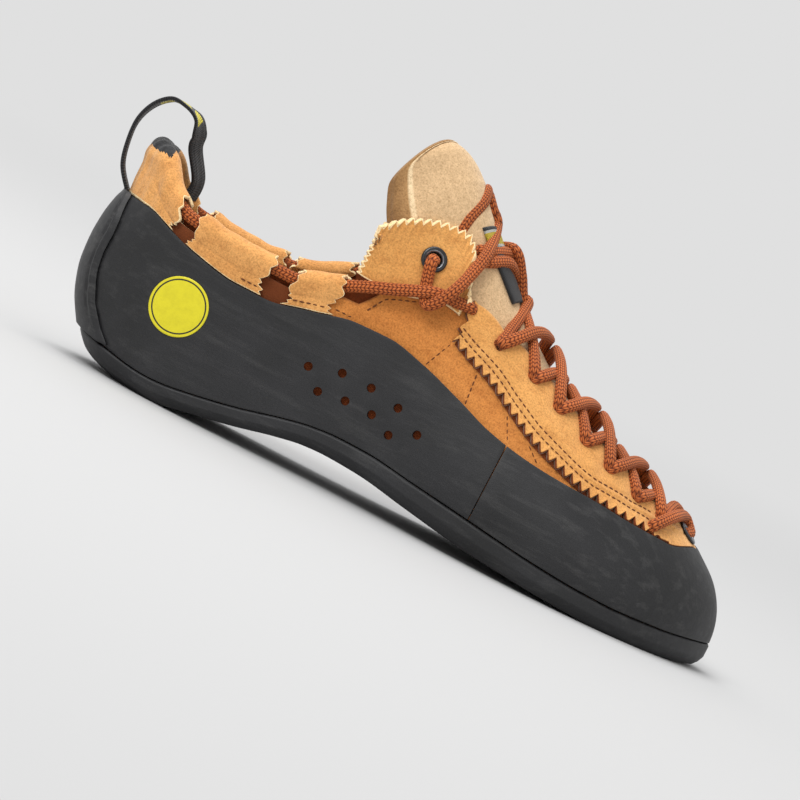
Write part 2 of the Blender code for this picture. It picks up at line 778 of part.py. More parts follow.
def build_cuffs(look, collection):
    build_heel_strip(CUFF_GAPS[LATERAL][0], look, collection)
    for side, label in ((LATERAL, "lateral"), (MEDIAL, "medial")):
        _, rear, mid, front = CUFF_GAPS[side]
        build_cuff_strip(f"cuff_{label}_rear", rear, mid, side, look, collection)
        build_cuff_strip(f"cuff_{label}_front", front, CUFF_END, side, look, collection)


def place_on(along, z, side, distance):
    return off_skin(turn_of(along), rise(along, z), side, distance)


def cutter_pin(name, centre, axis, radius, length, segments, cutters):
    """A round cutter with its middle at a point of the last's frame."""
    mesh = bpy.data.meshes.new(name)
    bm = bmesh.new()
    bmesh.ops.create_cone(bm, cap_ends=True, segments=segments, radius1=radius, radius2=radius,
                          depth=length)
    bm.transform(axis.to_track_quat("Z", "Y").to_matrix().to_4x4())
    bmesh.ops.translate(bm, verts=bm.verts, vec=to_rest(centre))
    bm.to_mesh(mesh)
    bm.free()
    obj = bpy.data.objects.new(name, mesh)
    cutters.objects.link(obj)
    obj.display_type = "WIRE"
    obj.hide_render = True
    return obj


def join_meshes(name, objects):
    """One cutter from several that don't touch."""
    bm = bmesh.new()
    for obj in objects:
        bm.from_mesh(obj.data)
        bpy.data.objects.remove(obj, do_unlink=True)
    mesh = bpy.data.meshes.new(name)
    bm.to_mesh(mesh)
    bm.free()
    return bpy.data.objects.new(name, mesh)


def cut_vents(side_rand, cutters):
    pins = []
    for along, share in zip(VENTS["along"], VENTS["height"]):
        z = INSTEP_HEIGHT * share
        centre = place_on(along, z, LATERAL, GAP + RAND_WALL / 2.0)
        axis = skin_normal(turn_of(along), rise(along, z), LATERAL)
        pins.append(cutter_pin("vent", centre, axis, VENT_DIAMETER / 2.0,
                               RAND_WALL * 3.0, VENT_SIDES, cutters))
    boolean(side_rand, join_meshes("vents", pins), "DIFFERENCE", cutters)


def build_eyelet(name, turn, up, side, carriers, carrier_face, look, collection, cutters):
    """A turned ring whose barrel goes through the pieces that carry it."""
    axis = skin_normal(turn, up, side)
    seat = carrier_face + GAP
    barrel = EYELET_HOLE / 2.0 + EYELET_LIP / 2.0
    depth = carrier_face + UPPER_WALL / 2.0
    profile = ((EYELET_HOLE / 2.0, seat + EYELET_LIP),
               (EYELET_FLANGE / 2.0 - EYELET_EDGE, seat + EYELET_LIP),
               (EYELET_FLANGE / 2.0, seat + EYELET_LIP / 2.0), (EYELET_FLANGE / 2.0, seat),
               (barrel, seat), (barrel, seat - depth), (EYELET_HOLE / 2.0, seat - depth))
    mesh = bpy.data.meshes.new(name)
    bm = bmesh.new()
    ring = [bm.verts.new((radius, 0.0, z)) for radius, z in profile]
    for i in range(len(ring)):
        bm.edges.new((ring[i], ring[(i + 1) % len(ring)]))
    bm.to_mesh(mesh)
    bm.free()
    mesh.materials.append(look)
    obj = bpy.data.objects.new(name, mesh)
    collection.objects.link(obj)
    obj.rotation_mode = "QUATERNION"
    obj.rotation_quaternion = axis.to_track_quat("Z", "Y")
    obj.location = to_rest(skin(turn, up, side))
    turned = obj.modifiers.new("turned", "SCREW")
    turned.steps = EYELET_SIDES
    turned.render_steps = EYELET_SIDES
    turned.use_merge_vertices = True
    turned.merge_threshold = 0.00001
    turned.use_smooth_shade = True
    for number, carrier in enumerate(carriers):
        hole = cutter_pin(f"{name}_hole_{number}", skin(turn, up, side), axis, barrel + GAP,
                          0.0200, EYELET_SIDES, cutters)
        cut = carrier.modifiers.new("hole", "BOOLEAN")
        cut.operation = "DIFFERENCE"
        cut.object = hole
    return obj


def build_eyelets(tabs, eyestay, upper, look, collection, cutters):
    for side, tab, label in ((LATERAL, tabs[0], "lateral"), (MEDIAL, tabs[1], "medial")):
        up = rise(ANKLE_EYELET_ALONG, INSTEP_HEIGHT * ANKLE_EYELET_HEIGHT)
        build_eyelet(f"ankle_eyelet_{label}", turn_of(ANKLE_EYELET_ALONG), up, side, [tab],
                     GAP + TAB_WALL, look, collection, cutters)
    build_eyelet("toe_eyelet", turn_of(TOE_EYELET_ALONG), TOE_EYELET_RISE, LATERAL,
                 [eyestay, upper], GAP + EYESTAY_WALL + GAP, look, collection, cutters)


def build_ankle_lace(look, collection, cutters):
    """The lace runs round the heel inside the folds, over the tongue, and twice over its top."""
    inside = -UPPER_WALL / 2.0
    outside = GAP + TAB_WALL + GAP + LACE_DIAMETER / 2.0
    crown = off_skin(turn_of(ANKLE_CROWN_ALONG), 1.0, LATERAL, LACE_DIAMETER * 0.75)
    half = {}
    for side in SIDES:
        in_fold = [along_of(turn) for turn in columns_between(0.0, CUFF_END)][1:]
        in_fold = sorted(in_fold + list(CUFF_GAPS[side]))
        points = [place_on(a, lace_height(a, side), side, inside) for a in in_fold]
        start = lace_height(CUFF_END, side)
        stops = [points[-1]]
        for a, lift, out in zip(ANKLE_WAY["along"], ANKLE_WAY["lift"], ANKLE_WAY["out"]):
            distance = out * outside if out > 0.0 else inside
            stops.append(place_on(a, start + lift, side, distance))
        half[side] = points + smooth_through(stops + [crown], 18)[1:-1]
    heel = place_on(0.0, lace_height(0.0, LATERAL), LATERAL, inside)
    points = [heel] + half[LATERAL] + [crown] + list(reversed(half[MEDIAL]))
    ring = mesh_from_curve(cord("lace_ankle", points, look, collection, True), collection)
    for number, at in enumerate(TOP_STRANDS):
        legs = {}
        for side in SIDES:
            base = lace_height(CUFF_END, side)
            legs[side] = [place_on(at, base + lift, side, outside) for lift in TOP_STRAND_LIFTS]
        top = off_skin(turn_of(at - TOP_STRAND_LEAN), 1.0, LATERAL, LACE_DIAMETER * 0.8)
        stops = legs[LATERAL] + [top] + list(reversed(legs[MEDIAL]))
        over = mesh_from_curve(cord(f"lace_over_{number}", smooth_through(stops, 18), look,
                                    collection), collection)
        boolean(ring, over, "UNION", cutters)


def build_pull_loop(look, collection):
    """Webbing from the outside of the heel, up and over, to the inside of the medial collar."""
    proud = FOLD_ROOM + CUFF_CLOTH + GAP + LOOP_THICKNESS / 2.0
    sunk = -(UPPER_WALL / 2.0 + fold_radius() + 2.5 * GAP + LOOP_THICKNESS / 2.0)
    end_turn = turn_of(LOOP_END_ALONG)
    end_across = skin(end_turn + 0.01, 0.2, MEDIAL) - skin(end_turn - 0.01, 0.2, MEDIAL)
    end_across.z = 0.0
    end_across.normalize()
    top = collar(LOOP_END_ALONG, MEDIAL)
    end = place_on(LOOP_END_ALONG, top - LOOP_END_DEPTH, MEDIAL, sunk)
    over = place_on(LOOP_END_ALONG, top + LOOP_END_OVER, MEDIAL, sunk)
    heel = -(proud + GAP)
    base = rand_high(0.0)
    stops = [place_on(0.0, base + LOOP_FOOT, LATERAL, proud)]
    for forward, inward, up in zip(LOOP_WAY["forward"], LOOP_WAY["inward"], LOOP_WAY["up"]):
        stops.append(Vector((heel + LOOP_SPAN * forward, LOOP_SPAN * inward, base + LOOP_RISE * up)))
    stops += [over, end]
    path = smooth_through(stops, 24)
    rings = []
    for i, point in enumerate(path):
        ahead = path[min(i + 1, len(path) - 1)] - path[max(i - 1, 0)]
        ahead.normalize()
        share = i / (len(path) - 1)
        twist = min(max((share - 0.25) / 0.45, 0.0), 1.0)
        wide = Vector((0.0, 1.0, 0.0)).lerp(end_across, twist)
        wide = (wide - ahead * wide.dot(ahead)).normalized()
        thick = ahead.cross(wide) * LOOP_THICKNESS / 2.0
        wide = wide * LOOP_WIDTH / 2.0
        rings.append([point + wide + thick, point - wide + thick, point - wide - thick,
                      point + wide - thick])
    return loft("pull_loop", rings, look, collection)


def build_parts():
    clear_scene()
    shoe = new_collection("climbing_shoe")
    cutters = new_collection("cutters")
    rubber = material("rubber", (0.030, 0.031, 0.033), 0.55)
    suede = material("suede", (0.62, 0.34, 0.11), 0.95)
    cloth = material("tongue_cloth", (0.55, 0.41, 0.26), 0.95)
    woven = material("woven_black", (0.02, 0.02, 0.02), 0.8)
    board = material("insole_board", (0.35, 0.22, 0.12), 0.9)
    lace = material("lace", (0.42, 0.13, 0.04), 0.85)
    enamel = material("black_enamel", (0.015, 0.015, 0.016), 0.35, 0.4)

    build_outsole(rubber, shoe)
    side_rand = build_rands(rubber, shoe)
    cut_vents(side_rand, cutters)
    build_heel_patch(rubber, shoe)
    upper = build_upper(suede, shoe)
    build_insole(board, shoe)
    build_tongue(cloth, woven, shoe)
    eyestay = build_eyestay(suede, shoe)
    tabs = build_ankle_tabs(suede, shoe)
    build_cuffs(suede, shoe)
    build_pull_loop(woven, shoe)
    build_crossings(lace, shoe, cutters)
    build_ankle_lace(lace, shoe, cutters)
    build_eyelets(tabs, eyestay, upper, enamel, shoe, cutters)


build_parts()
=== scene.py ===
# Looks of the right climbing shoe, standing empty. Metres; toe to +X, inner side of the foot to +Y,
# floor at z = 0, origin under the heel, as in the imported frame.
import math

import bmesh
import bpy
import numpy as np
from mathutils import Matrix, Vector
from mathutils.kdtree import KDTree


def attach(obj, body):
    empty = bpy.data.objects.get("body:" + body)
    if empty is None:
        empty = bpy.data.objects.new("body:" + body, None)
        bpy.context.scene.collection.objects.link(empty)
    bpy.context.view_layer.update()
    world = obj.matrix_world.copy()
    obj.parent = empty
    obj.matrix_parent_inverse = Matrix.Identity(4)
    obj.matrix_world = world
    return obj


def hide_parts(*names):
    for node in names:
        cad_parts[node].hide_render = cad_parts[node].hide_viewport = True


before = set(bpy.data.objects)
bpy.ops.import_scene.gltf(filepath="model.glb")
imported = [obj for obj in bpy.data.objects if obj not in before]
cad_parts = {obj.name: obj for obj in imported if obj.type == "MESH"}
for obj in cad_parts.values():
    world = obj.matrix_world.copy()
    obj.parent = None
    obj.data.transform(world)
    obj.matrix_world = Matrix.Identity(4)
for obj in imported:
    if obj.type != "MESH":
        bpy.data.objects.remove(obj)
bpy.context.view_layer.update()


# Camera: a long lens at the shoe's outer side, a little above its middle. The shoe stands flat here
# and points 27 degrees down in the photograph, so the camera is rolled by that angle instead.
CAMERA_ELEVATION = math.radians(3.5)
CAMERA_ROLL = math.radians(27.0)
CAMERA_DISTANCE = 1.965
CAMERA_LENS = 250.0
FRAME_PIXELS = 800
FRAME_WIDTH = CAMERA_DISTANCE * 36.0 / CAMERA_LENS
SHOE_MIDDLE = Vector((0.0967, 0.0, 0.0650))
SHOE_MIDDLE_PIXEL = (451, 342)

camera_back = Vector((0.0, -math.cos(CAMERA_ELEVATION), math.sin(CAMERA_ELEVATION)))
level_right = Vector((1.0, 0.0, 0.0))
level_up = camera_back.cross(level_right)
camera_right = math.cos(CAMERA_ROLL) * level_right + math.sin(CAMERA_ROLL) * level_up
camera_up = math.cos(CAMERA_ROLL) * level_up - math.sin(CAMERA_ROLL) * level_right
pixel = FRAME_WIDTH / FRAME_PIXELS
camera_target = (SHOE_MIDDLE - camera_right * pixel * (SHOE_MIDDLE_PIXEL[0] - FRAME_PIXELS / 2)
                 + camera_up * pixel * (SHOE_MIDDLE_PIXEL[1] - FRAME_PIXELS / 2))
camera_data = bpy.data.cameras.new("camera")
camera_data.lens = CAMERA_LENS
camera_data.clip_start = 0.05
camera = bpy.data.objects.new("camera", camera_data)
bpy.context.scene.collection.objects.link(camera)
camera.matrix_world = Matrix.Translation(camera_target + camera_back * CAMERA_DISTANCE) @ Matrix(
    (camera_right, camera_up, camera_back)).transposed().to_4x4()
bpy.context.scene.camera = camera


# Studio: a wide pale floor under soft boxes. Far from the shoe it turns into the even light of the
# backdrop, so no edge or horizon shows from any side.
FLOOR_RADIUS = 30.0
FLOOR_FADE = (0.25, 1.60)
FLOOR_COLOUR = (0.49, 0.49, 0.49)
BACKDROP = (0.745, 0.745, 0.745)


def deselect_all():
    bpy.ops.object.select_all(action="DESELECT")


def to_linear(red, green, blue):
    """A colour seen in the photograph, 0 to 255, as the shader wants it."""
    return tuple((c / 255.0 / 12.92) if c < 11 else ((c / 255.0 + 0.055) / 1.055) ** 2.4
                 for c in (red, green, blue))


deselect_all()
bpy.ops.mesh.primitive_circle_add(vertices=96, radius=FLOOR_RADIUS, fill_type="NGON")
floor = bpy.context.object
floor.name = "floor"
floor_look = bpy.data.materials.new("pale_floor")
floor_look.use_nodes = True
floor_nodes = floor_look.node_tree.nodes
floor_links = floor_look.node_tree.links
floor_shader = floor_nodes["Principled BSDF"]
floor_shader.inputs["Base Color"].default_value = (*FLOOR_COLOUR, 1.0)
floor_shader.inputs["Roughness"].default_value = 0.95
floor_shader.inputs["Specular IOR Level"].default_value = 0.1
glow = floor_nodes.new("ShaderNodeEmission")
glow.inputs["Color"].default_value = (*BACKDROP, 1.0)
where = floor_nodes.new("ShaderNodeTexCoord")
radius = floor_nodes.new("ShaderNodeVectorMath")
radius.operation = "LENGTH"
fade = floor_nodes.new("ShaderNodeMapRange")
fade.interpolation_type = "SMOOTHSTEP"
fade.inputs["From Min"].default_value, fade.inputs["From Max"].default_value = FLOOR_FADE
blend = floor_nodes.new("ShaderNodeMixShader")
floor_links.new(where.outputs["Object"], radius.inputs[0])
floor_links.new(radius.outputs["Value"], fade.inputs["Value"])
floor_links.new(fade.outputs["Result"], blend.inputs["Fac"])
floor_links.new(floor_shader.outputs["BSDF"], blend.inputs[1])
floor_links.new(glow.outputs["Emission"], blend.inputs[2])
floor_links.new(blend.outputs["Shader"], floor_nodes["Material Output"].inputs["Surface"])
floor.data.materials.append(floor_look)

# name, place of the light, its size in metres, its power in watts
SOFT_BOXES = (("key_light", (-0.75, -1.25, 1.60), 0.9, 22.0),
              ("top_light", (-0.35, 0.25, 1.60), 0.9, 17.0),
              ("front_fill", (0.90, -1.50, 0.60), 1.0, 2.0),
              ("back_light", (-0.60, 1.50, 0.90), 1.0, 4.0))
for name, place, size, power in SOFT_BOXES:
    light_data = bpy.data.lights.new(name, "AREA")
    light_data.shape = "SQUARE"
    light_data.size = size
    light_data.energy = power
    light = bpy.data.objects.new(name, light_data)
    bpy.context.scene.collection.objects.link(light)
    light.location = place
    light.rotation_euler = (SHOE_MIDDLE - Vector(place)).to_track_quat("-Z", "Y").to_euler()

world = bpy.data.worlds.new("studio")
world.use_nodes = True
world.node_tree.nodes["Background"].inputs["Color"].default_value = (*BACKDROP, 1.0)
world.node_tree.nodes["Background"].inputs["Strength"].default_value = 1.0
bpy.context.scene.world = world
bpy.context.scene.view_settings.view_transform = "Standard"


# Outsole: one sheet of black climbing rubber, cut to the last's outline, its edge ground by hand.
# It is glued under the whole foot, up into the arch, and its ground lower edge shows paler.
LAST_LENGTH = 0.2550
BALL_WIDTH = 0.0880
INSTEP_HEIGHT = 0.0950
HEEL_SETBACK = 0.0250
HEEL_HEIGHT = 0.0600
HEEL_REST_ALONG = 0.0300
LEAN_REACH = 0.36
SOLE_SIDE = 0.0074
ARCH_RISE = 0.0111
SOLE_BEVEL = 0.0025
SOLE_ROUNDING = 0.0008
SOLE_SIDE_FACE = 0.0028
SOLE_HEEL_FACE = 0.0043
GAP = 0.0004
LATERAL = -1.0
MEDIAL = 1.0
RUBBER_DARK = to_linear(24, 24, 25)
RUBBER_MID = to_linear(39, 39, 41)
RUBBER_DUST = to_linear(96, 95, 94)

# Sections of the last. lateral, medial: shares of the ball width. ridge: share of the instep height.
LAST = {
    "along":   (0.00, 0.02, 0.05, 0.10, 0.18, 0.28, 0.38, 0.48, 0.58,
                0.66, 0.72, 0.78, 0.84, 0.90, 0.94, 0.97, 0.99, 1.00),
    "lateral": (0.00, 0.155, 0.230, 0.300, 0.335, 0.345, 0.355, 0.395, 0.450,
                0.485, 0.490, 0.462, 0.400, 0.290, 0.180, 0.070, -0.035, -0.136),
    "medial":  (0.00, 0.155, 0.230, 0.295, 0.325, 0.320, 0.305, 0.310, 0.360,
                0.435, 0.490, 0.516, 0.512, 0.472, 0.416, 0.345, 0.262, 0.136),
    "ridge":   (2.15, 2.13, 2.10, 2.05, 1.90, 1.64, 1.38, 1.11, 0.880,
                0.745, 0.665, 0.595, 0.520, 0.442, 0.366, 0.300, 0.222, 0.105),
    "crown":   (0.00, 0.00, 0.00, 0.00, 0.00, 0.00, 0.00, 0.01, 0.03,
                0.05, 0.07, 0.09, 0.11, 0.13, 0.136, 0.136, 0.136, 0.136),
}
SOLE = {
    "along":  (0.00, 0.09, 0.14, 0.20, 0.27, 0.34, 0.38, 0.41, 0.46, 0.54, 0.63, 0.72, 0.80,
               0.87, 0.93, 0.965, 1.00),
    "bottom": (0.00, 0.00, 0.06, 0.23, 0.47, 0.81, 0.965, 1.00, 0.955, 0.70, 0.41, 0.22, 0.08,
               0.00, 0.00, 0.035, 0.11),
    "side":   (1.46, 1.00, 0.88, 0.86, 0.90, 0.95, 0.98, 1.03, 1.10, 1.20, 1.30, 1.22, 1.18,
               1.20, 1.24, 1.26, 1.22),
}
HEEL_BACK = {
    "height": (0.00, 0.05, 0.12, 0.22, 0.40, 0.57, 0.70, 0.81, 0.93, 1.01, 1.12, 1.25, 1.40, 2.40),
    "back":   (1.00, 0.70, 0.52, 0.36, 0.12, 0.016, 0.00, 0.016, 0.07, 0.13, 0.12, 0.12, 0.22, 0.70),
}


def read(table, column, places, key="along"):
    """Values of a table's column, on a smooth curve that never overshoots its rows."""
    xs, ys = np.array(table[key], float), np.array(table[column], float)
    places = np.clip(np.asarray(places, float), xs[0], xs[-1])
    steps = np.diff(xs)
    slopes = np.diff(ys) / steps
    tangents = np.zeros(len(xs))
    tangents[0], tangents[-1] = slopes[0], slopes[-1]
    before, after = slopes[:-1], slopes[1:]
    same = before * after > 0.0
    w1, w2 = 2.0 * steps[1:] + steps[:-1], steps[1:] + 2.0 * steps[:-1]
    mean = np.zeros(len(before))
    mean[same] = (w1 + w2)[same] / (w1[same] / before[same] + w2[same] / after[same])
    tangents[1:-1] = mean
    row = np.clip(np.searchsorted(xs, places, side="right") - 1, 0, len(steps) - 1)
    h = steps[row]
    f = (places - xs[row]) / h
    return (ys[row] * (2 * f**3 - 3 * f**2 + 1) + h * tangents[row] * (f**3 - 2 * f**2 + f)
            + ys[row + 1] * (3 * f**2 - 2 * f**3) + h * tangents[row + 1] * (f**3 - f**2))


def turn_of(along):
    """Share of the half turn round the foot that belongs to a share of its length."""
    return np.arccos(1.0 - 2.0 * np.clip(along, 0.0, 1.0)) / math.pi


def along_of(turn):
    return (1.0 - np.cos(math.pi * np.asarray(turn, float))) / 2.0


TURN_TABLE = dict(LAST, turn=tuple(turn_of(a) for a in LAST["along"]))


def sole_bottom(along):
    return ARCH_RISE * read(SOLE, "bottom", along)


def feather(along):
    """Height of the line where rand and outsole meet."""
    return sole_bottom(along) + SOLE_SIDE * read(SOLE, "side", along)


def ridge(along):
    return INSTEP_HEIGHT * read(TURN_TABLE, "ridge", turn_of(along), "turn")


def rise(along, z):
    """Share of the way up a section, from the feather line to the ridge, for a height."""
    low = feather(along)
    share = np.clip((z - low) / np.maximum(ridge(along) - low, 1e-6), 0.0, 1.0)
    return np.arcsin(np.minimum(share ** 0.91, 1.0)) / (math.pi / 2.0)


def skin(turn, up, side, drop=0.0):
    """Points on the upper's outer face, in the last's own frame."""
    along = along_of(turn)
    low = feather(along)
    z = low + (ridge(along) - low) * np.sin(up * math.pi / 2.0) ** 1.1 - drop
    middle = BALL_WIDTH * read(TURN_TABLE, "crown", turn, "turn")
    half = np.where(np.asarray(side) < 0.0, read(TURN_TABLE, "lateral", turn, "turn"),
                    read(TURN_TABLE, "medial", turn, "turn"))
    edge = side * BALL_WIDTH * half
    tuck = 1.0 - 0.05 * np.maximum(0.0, 1.0 - up / 0.25) ** 2
    narrow = np.maximum(np.cos(up * math.pi / 2.0), 0.0) ** 0.86 * tuck
    back = HEEL_SETBACK * read(HEEL_BACK, "back", z / HEEL_HEIGHT, "height")
    x = along * LAST_LENGTH + back * np.maximum(1.0 - along / LEAN_REACH, 0.0) ** 1.5
    return np.stack(np.broadcast_arrays(x, middle + (edge - middle) * narrow, z), axis=-1)


def unit(vectors):
    return vectors / np.maximum(np.linalg.norm(vectors, axis=-1, keepdims=True), 1e-12)


def one_side_normal(turn, up, side, drop):
    t0, t1 = np.maximum(turn - 0.004, 0.0), np.minimum(turn + 0.004, 0.997)
    u0, u1 = np.maximum(up - 0.01, 0.0), np.minimum(up + 0.01, 1.0)
    along_skin = skin(t1, up, side, drop) - skin(np.minimum(t0, t1 - 0.004), up, side, drop)
    up_skin = skin(turn, u1, side, drop) - skin(turn, u0, side, drop)
    return unit(np.cross(along_skin, up_skin) * -np.asarray(side)[..., None])


def off_skin(turn, up, side, distance, drop=0.0):
    """Points this far outside the upper's face, in the part's frame."""
    turn, up, side, distance, drop = (np.array(a, float) for a in np.broadcast_arrays(
        turn, up, side, distance, drop))
    near = np.minimum(turn, 0.985)
    normal = one_side_normal(near, up, side, drop)
    seam = np.maximum(np.clip(1.0 - near / 0.012, 0.0, 1.0), np.clip((up - 0.97) / 0.03, 0.0, 1.0))
    normal = unit(normal + one_side_normal(near, up, -side, drop) * seam[..., None])
    heel = np.clip(1.0 - near / 0.004, 0.0, 1.0)
    normal[..., 1] *= 1.0 - heel
    tip = np.clip((turn - 0.90) / 0.10, 0.0, 1.0) ** 2
    normal = unit(normal * (1.0 - tip[..., None]) + np.array((1.0, 0.0, 0.0)) * tip[..., None])
    points = skin(turn, up, side, drop) + normal * distance[..., None]
    points[..., 0] -= HEEL_REST_ALONG
    return points


def laid_grid(name, columns, rows, place, closed=False):
    """A grid, added as a primitive of unit size and then laid where place(u, v) says."""
    deselect_all()
    bpy.ops.mesh.primitive_grid_add(x_subdivisions=columns, y_subdivisions=rows, size=1.0)
    obj = bpy.context.object
    obj.name = name
    mesh = obj.data
    flat = np.empty(len(mesh.vertices) * 3)
    mesh.vertices.foreach_get("co", flat)
    flat = flat.reshape(-1, 3)
    points = place(flat[:, 0] + 0.5, flat[:, 1] + 0.5)
    mesh.vertices.foreach_set("co", points.astype(np.float32).ravel())
    mesh.update()
    bpy.ops.object.mode_set(mode="EDIT")
    bpy.ops.mesh.select_all(action="SELECT")
    bpy.ops.mesh.remove_doubles(threshold=0.00003)
    bpy.ops.object.mode_set(mode="OBJECT")
    face_out(obj, closed)
    bpy.ops.object.shade_smooth()
    return obj


def face_out(obj, closed=False):
    """Turns a sheet's faces away from the middle of the foot, or a closed shell's outwards."""
    bpy.ops.object.mode_set(mode="EDIT")
    bpy.ops.mesh.select_all(action="SELECT")
    bpy.ops.mesh.normals_make_consistent(inside=False)
    bpy.ops.object.mode_set(mode="OBJECT")
    if closed:
        return
    mesh = obj.data
    count = len(mesh.polygons)
    normals, centres, areas = np.empty(count * 3), np.empty(count * 3), np.empty(count)
    mesh.polygons.foreach_get("normal", normals)
    mesh.polygons.foreach_get("center", centres)
    mesh.polygons.foreach_get("area", areas)
    normals, centres = normals.reshape(-1, 3), centres.reshape(-1, 3)
    middle = np.stack([np.clip(centres[:, 0], 0.0, 0.17), np.full(count, 0.004),
                       np.full(count, 0.035)], axis=-1)
    if ((normals * (centres - middle)).sum(axis=1) * areas).sum() < 0.0:
        bpy.ops.object.mode_set(mode="EDIT")
        bpy.ops.mesh.select_all(action="SELECT")
        bpy.ops.mesh.flip_normals()
        bpy.ops.object.mode_set(mode="OBJECT")


def apply_modifier(obj, kind, name, **settings):
    """Adds a modifier with these settings and applies it."""
    deselect_all()
    obj.select_set(True)
    bpy.context.view_layer.objects.active = obj
    modifier = obj.modifiers.new(name, kind)
    for key, value in settings.items():
        setattr(modifier, key, value)
    bpy.ops.object.modifier_apply(modifier=name)


def make_solid(obj, thickness, rim=0, inside=0):
    """Gives a laid sheet its thickness, inwards from its outer face."""
    apply_modifier(obj, "SOLIDIFY", "thickness", thickness=thickness, offset=-1.0,
                   use_even_offset=False, material_offset_rim=rim, material_offset=inside)


def new_material(name, roughness, sheen=0.0, sheen_tint=(1.0, 1.0, 1.0), specular=0.3):
    """A material whose flat values sit on the shader; its colour and bump are linked later."""
    result = bpy.data.materials.new(name)
    result.use_nodes = True
    shader = result.node_tree.nodes["Principled BSDF"]
    shader.inputs["Roughness"].default_value = roughness
    shader.inputs["Specular IOR Level"].default_value = specular
    shader.inputs["Sheen Weight"].default_value = sheen
    shader.inputs["Sheen Roughness"].default_value = 0.5
    shader.inputs["Sheen Tint"].default_value = (*sheen_tint, 1.0)
    return result


def add_node(look, kind, **values):
    """A node in a material; values go to its settings or, where it has none of that name, inputs."""
    node = look.node_tree.nodes.new(kind)
    for key, value in values.items():
        if hasattr(node, key):
            setattr(node, key, value)
        else:
            node.inputs[key.replace("_", " ")].default_value = value
    return node


def link(look, source, target, output=0):
    look.node_tree.links.new(source.outputs[output], target)


def noise(look, scale, detail=3.0, roughness=0.55, stretch=(1.0, 1.0, 1.0), turn=(0.0, 0.0, 0.0)):
    """A noise texture on Object coordinates; scale counts its features per metre."""
    place = add_node(look, "ShaderNodeTexCoord")
    mapping = add_node(look, "ShaderNodeMapping")
    mapping.inputs["Scale"].default_value = stretch
    mapping.inputs["Rotation"].default_value = turn
    texture = add_node(look, "ShaderNodeTexNoise")
    texture.inputs["Scale"].default_value = scale
    texture.inputs["Detail"].default_value = detail
    texture.inputs["Roughness"].default_value = roughness
    link(look, place, mapping.inputs["Vector"], output=3)
    link(look, mapping, texture.inputs["Vector"])
    return texture


def ramp(look, source, stops, output=0):
    """A colour ramp from (place, colour) stops, fed by a node."""
    node = add_node(look, "ShaderNodeValToRGB")
    elements = node.color_ramp.elements
    while len(elements) < len(stops):
        elements.new(0.5)
    for element, (place, colour) in zip(elements, stops):
        element.position = place
        element.color = (*colour, 1.0) if len(colour) == 3 else colour
    link(look, source, node.inputs["Fac"], output)
    return node


def mix(look, kind, share, first, second):
    """Mixes two colours, each a node or a plain colour; share is a node or a number."""
    node = add_node(look, "ShaderNodeMix")
    node.data_type = "RGBA"
    node.blend_type = kind
    for socket, value in ((node.inputs[0], share), (node.inputs[6], first), (node.inputs[7], second)):
        if isinstance(value, bpy.types.Node):
            output = 2 if value.bl_idname == "ShaderNodeMix" else 0
            look.node_tree.links.new(value.outputs[output], socket)
        elif isinstance(value, tuple):
            socket.default_value = (*value, 1.0)
        else:
            socket.default_value = value
    return node


def colour_from(look, node):
    output = 2 if node.bl_idname == "ShaderNodeMix" else 0
    shader = look.node_tree.nodes["Principled BSDF"]
    look.node_tree.links.new(node.outputs[output], shader.inputs["Base Color"])


def bump(look, heights, distance, strength=1.0):
    """Chains one bump after another; heights are nodes, distances in metres."""
    shader = look.node_tree.nodes["Principled BSDF"]
    last = None
    for source, depth in zip(heights, distance):
        node = add_node(look, "ShaderNodeBump")
        node.inputs["Strength"].default_value = strength
        node.inputs["Distance"].default_value = depth
        output = 2 if source.bl_idname == "ShaderNodeMix" else 0
        look.node_tree.links.new(source.outputs[output], node.inputs["Height"])
        if last is not None:
            link(look, last, node.inputs["Normal"])
        last = node
    link(look, last, shader.inputs["Normal"])


def rubber_material(name, dust, streak_turn=(0.0, 0.0, 0.5)):
    """Ground rubber: dark, with brushed streaks, fine grain and a breath of pale dust."""
    look = new_material(name, 0.52, specular=0.42)
    cloud = noise(look, 26.0, 4.0)
    streaks = noise(look, 260.0, 5.0, 0.65, stretch=(0.10, 1.0, 1.0), turn=streak_turn)
    grain = noise(look, 2600.0, 2.0)
    base = mix(look, "MIX", ramp(look, cloud, ((0.35, (0, 0, 0)), (0.70, (1, 1, 1)))),
               RUBBER_DARK, RUBBER_MID)
    dusty = ramp(look, streaks, ((0.50, (0, 0, 0)), (0.78, (dust, dust, dust))))
    base = mix(look, "MIX", dusty, base, RUBBER_DUST)
    specks = ramp(look, grain, ((0.35, (0.72, 0.72, 0.72)), (0.65, (1.2, 1.2, 1.2))))
    base = mix(look, "MULTIPLY", 1.0, base, specks)
    colour_from(look, base)
    gloss = ramp(look, streaks, ((0.3, (0.44, 0.44, 0.44)), (0.75, (0.66, 0.66, 0.66))))
    link(look, gloss, look.node_tree.nodes["Principled BSDF"].inputs["Roughness"])
    bump(look, (cloud, streaks, grain), (0.0006, 0.00012, 0.00006))
    return look


sole_look = rubber_material("outsole_rubber", 0.30)


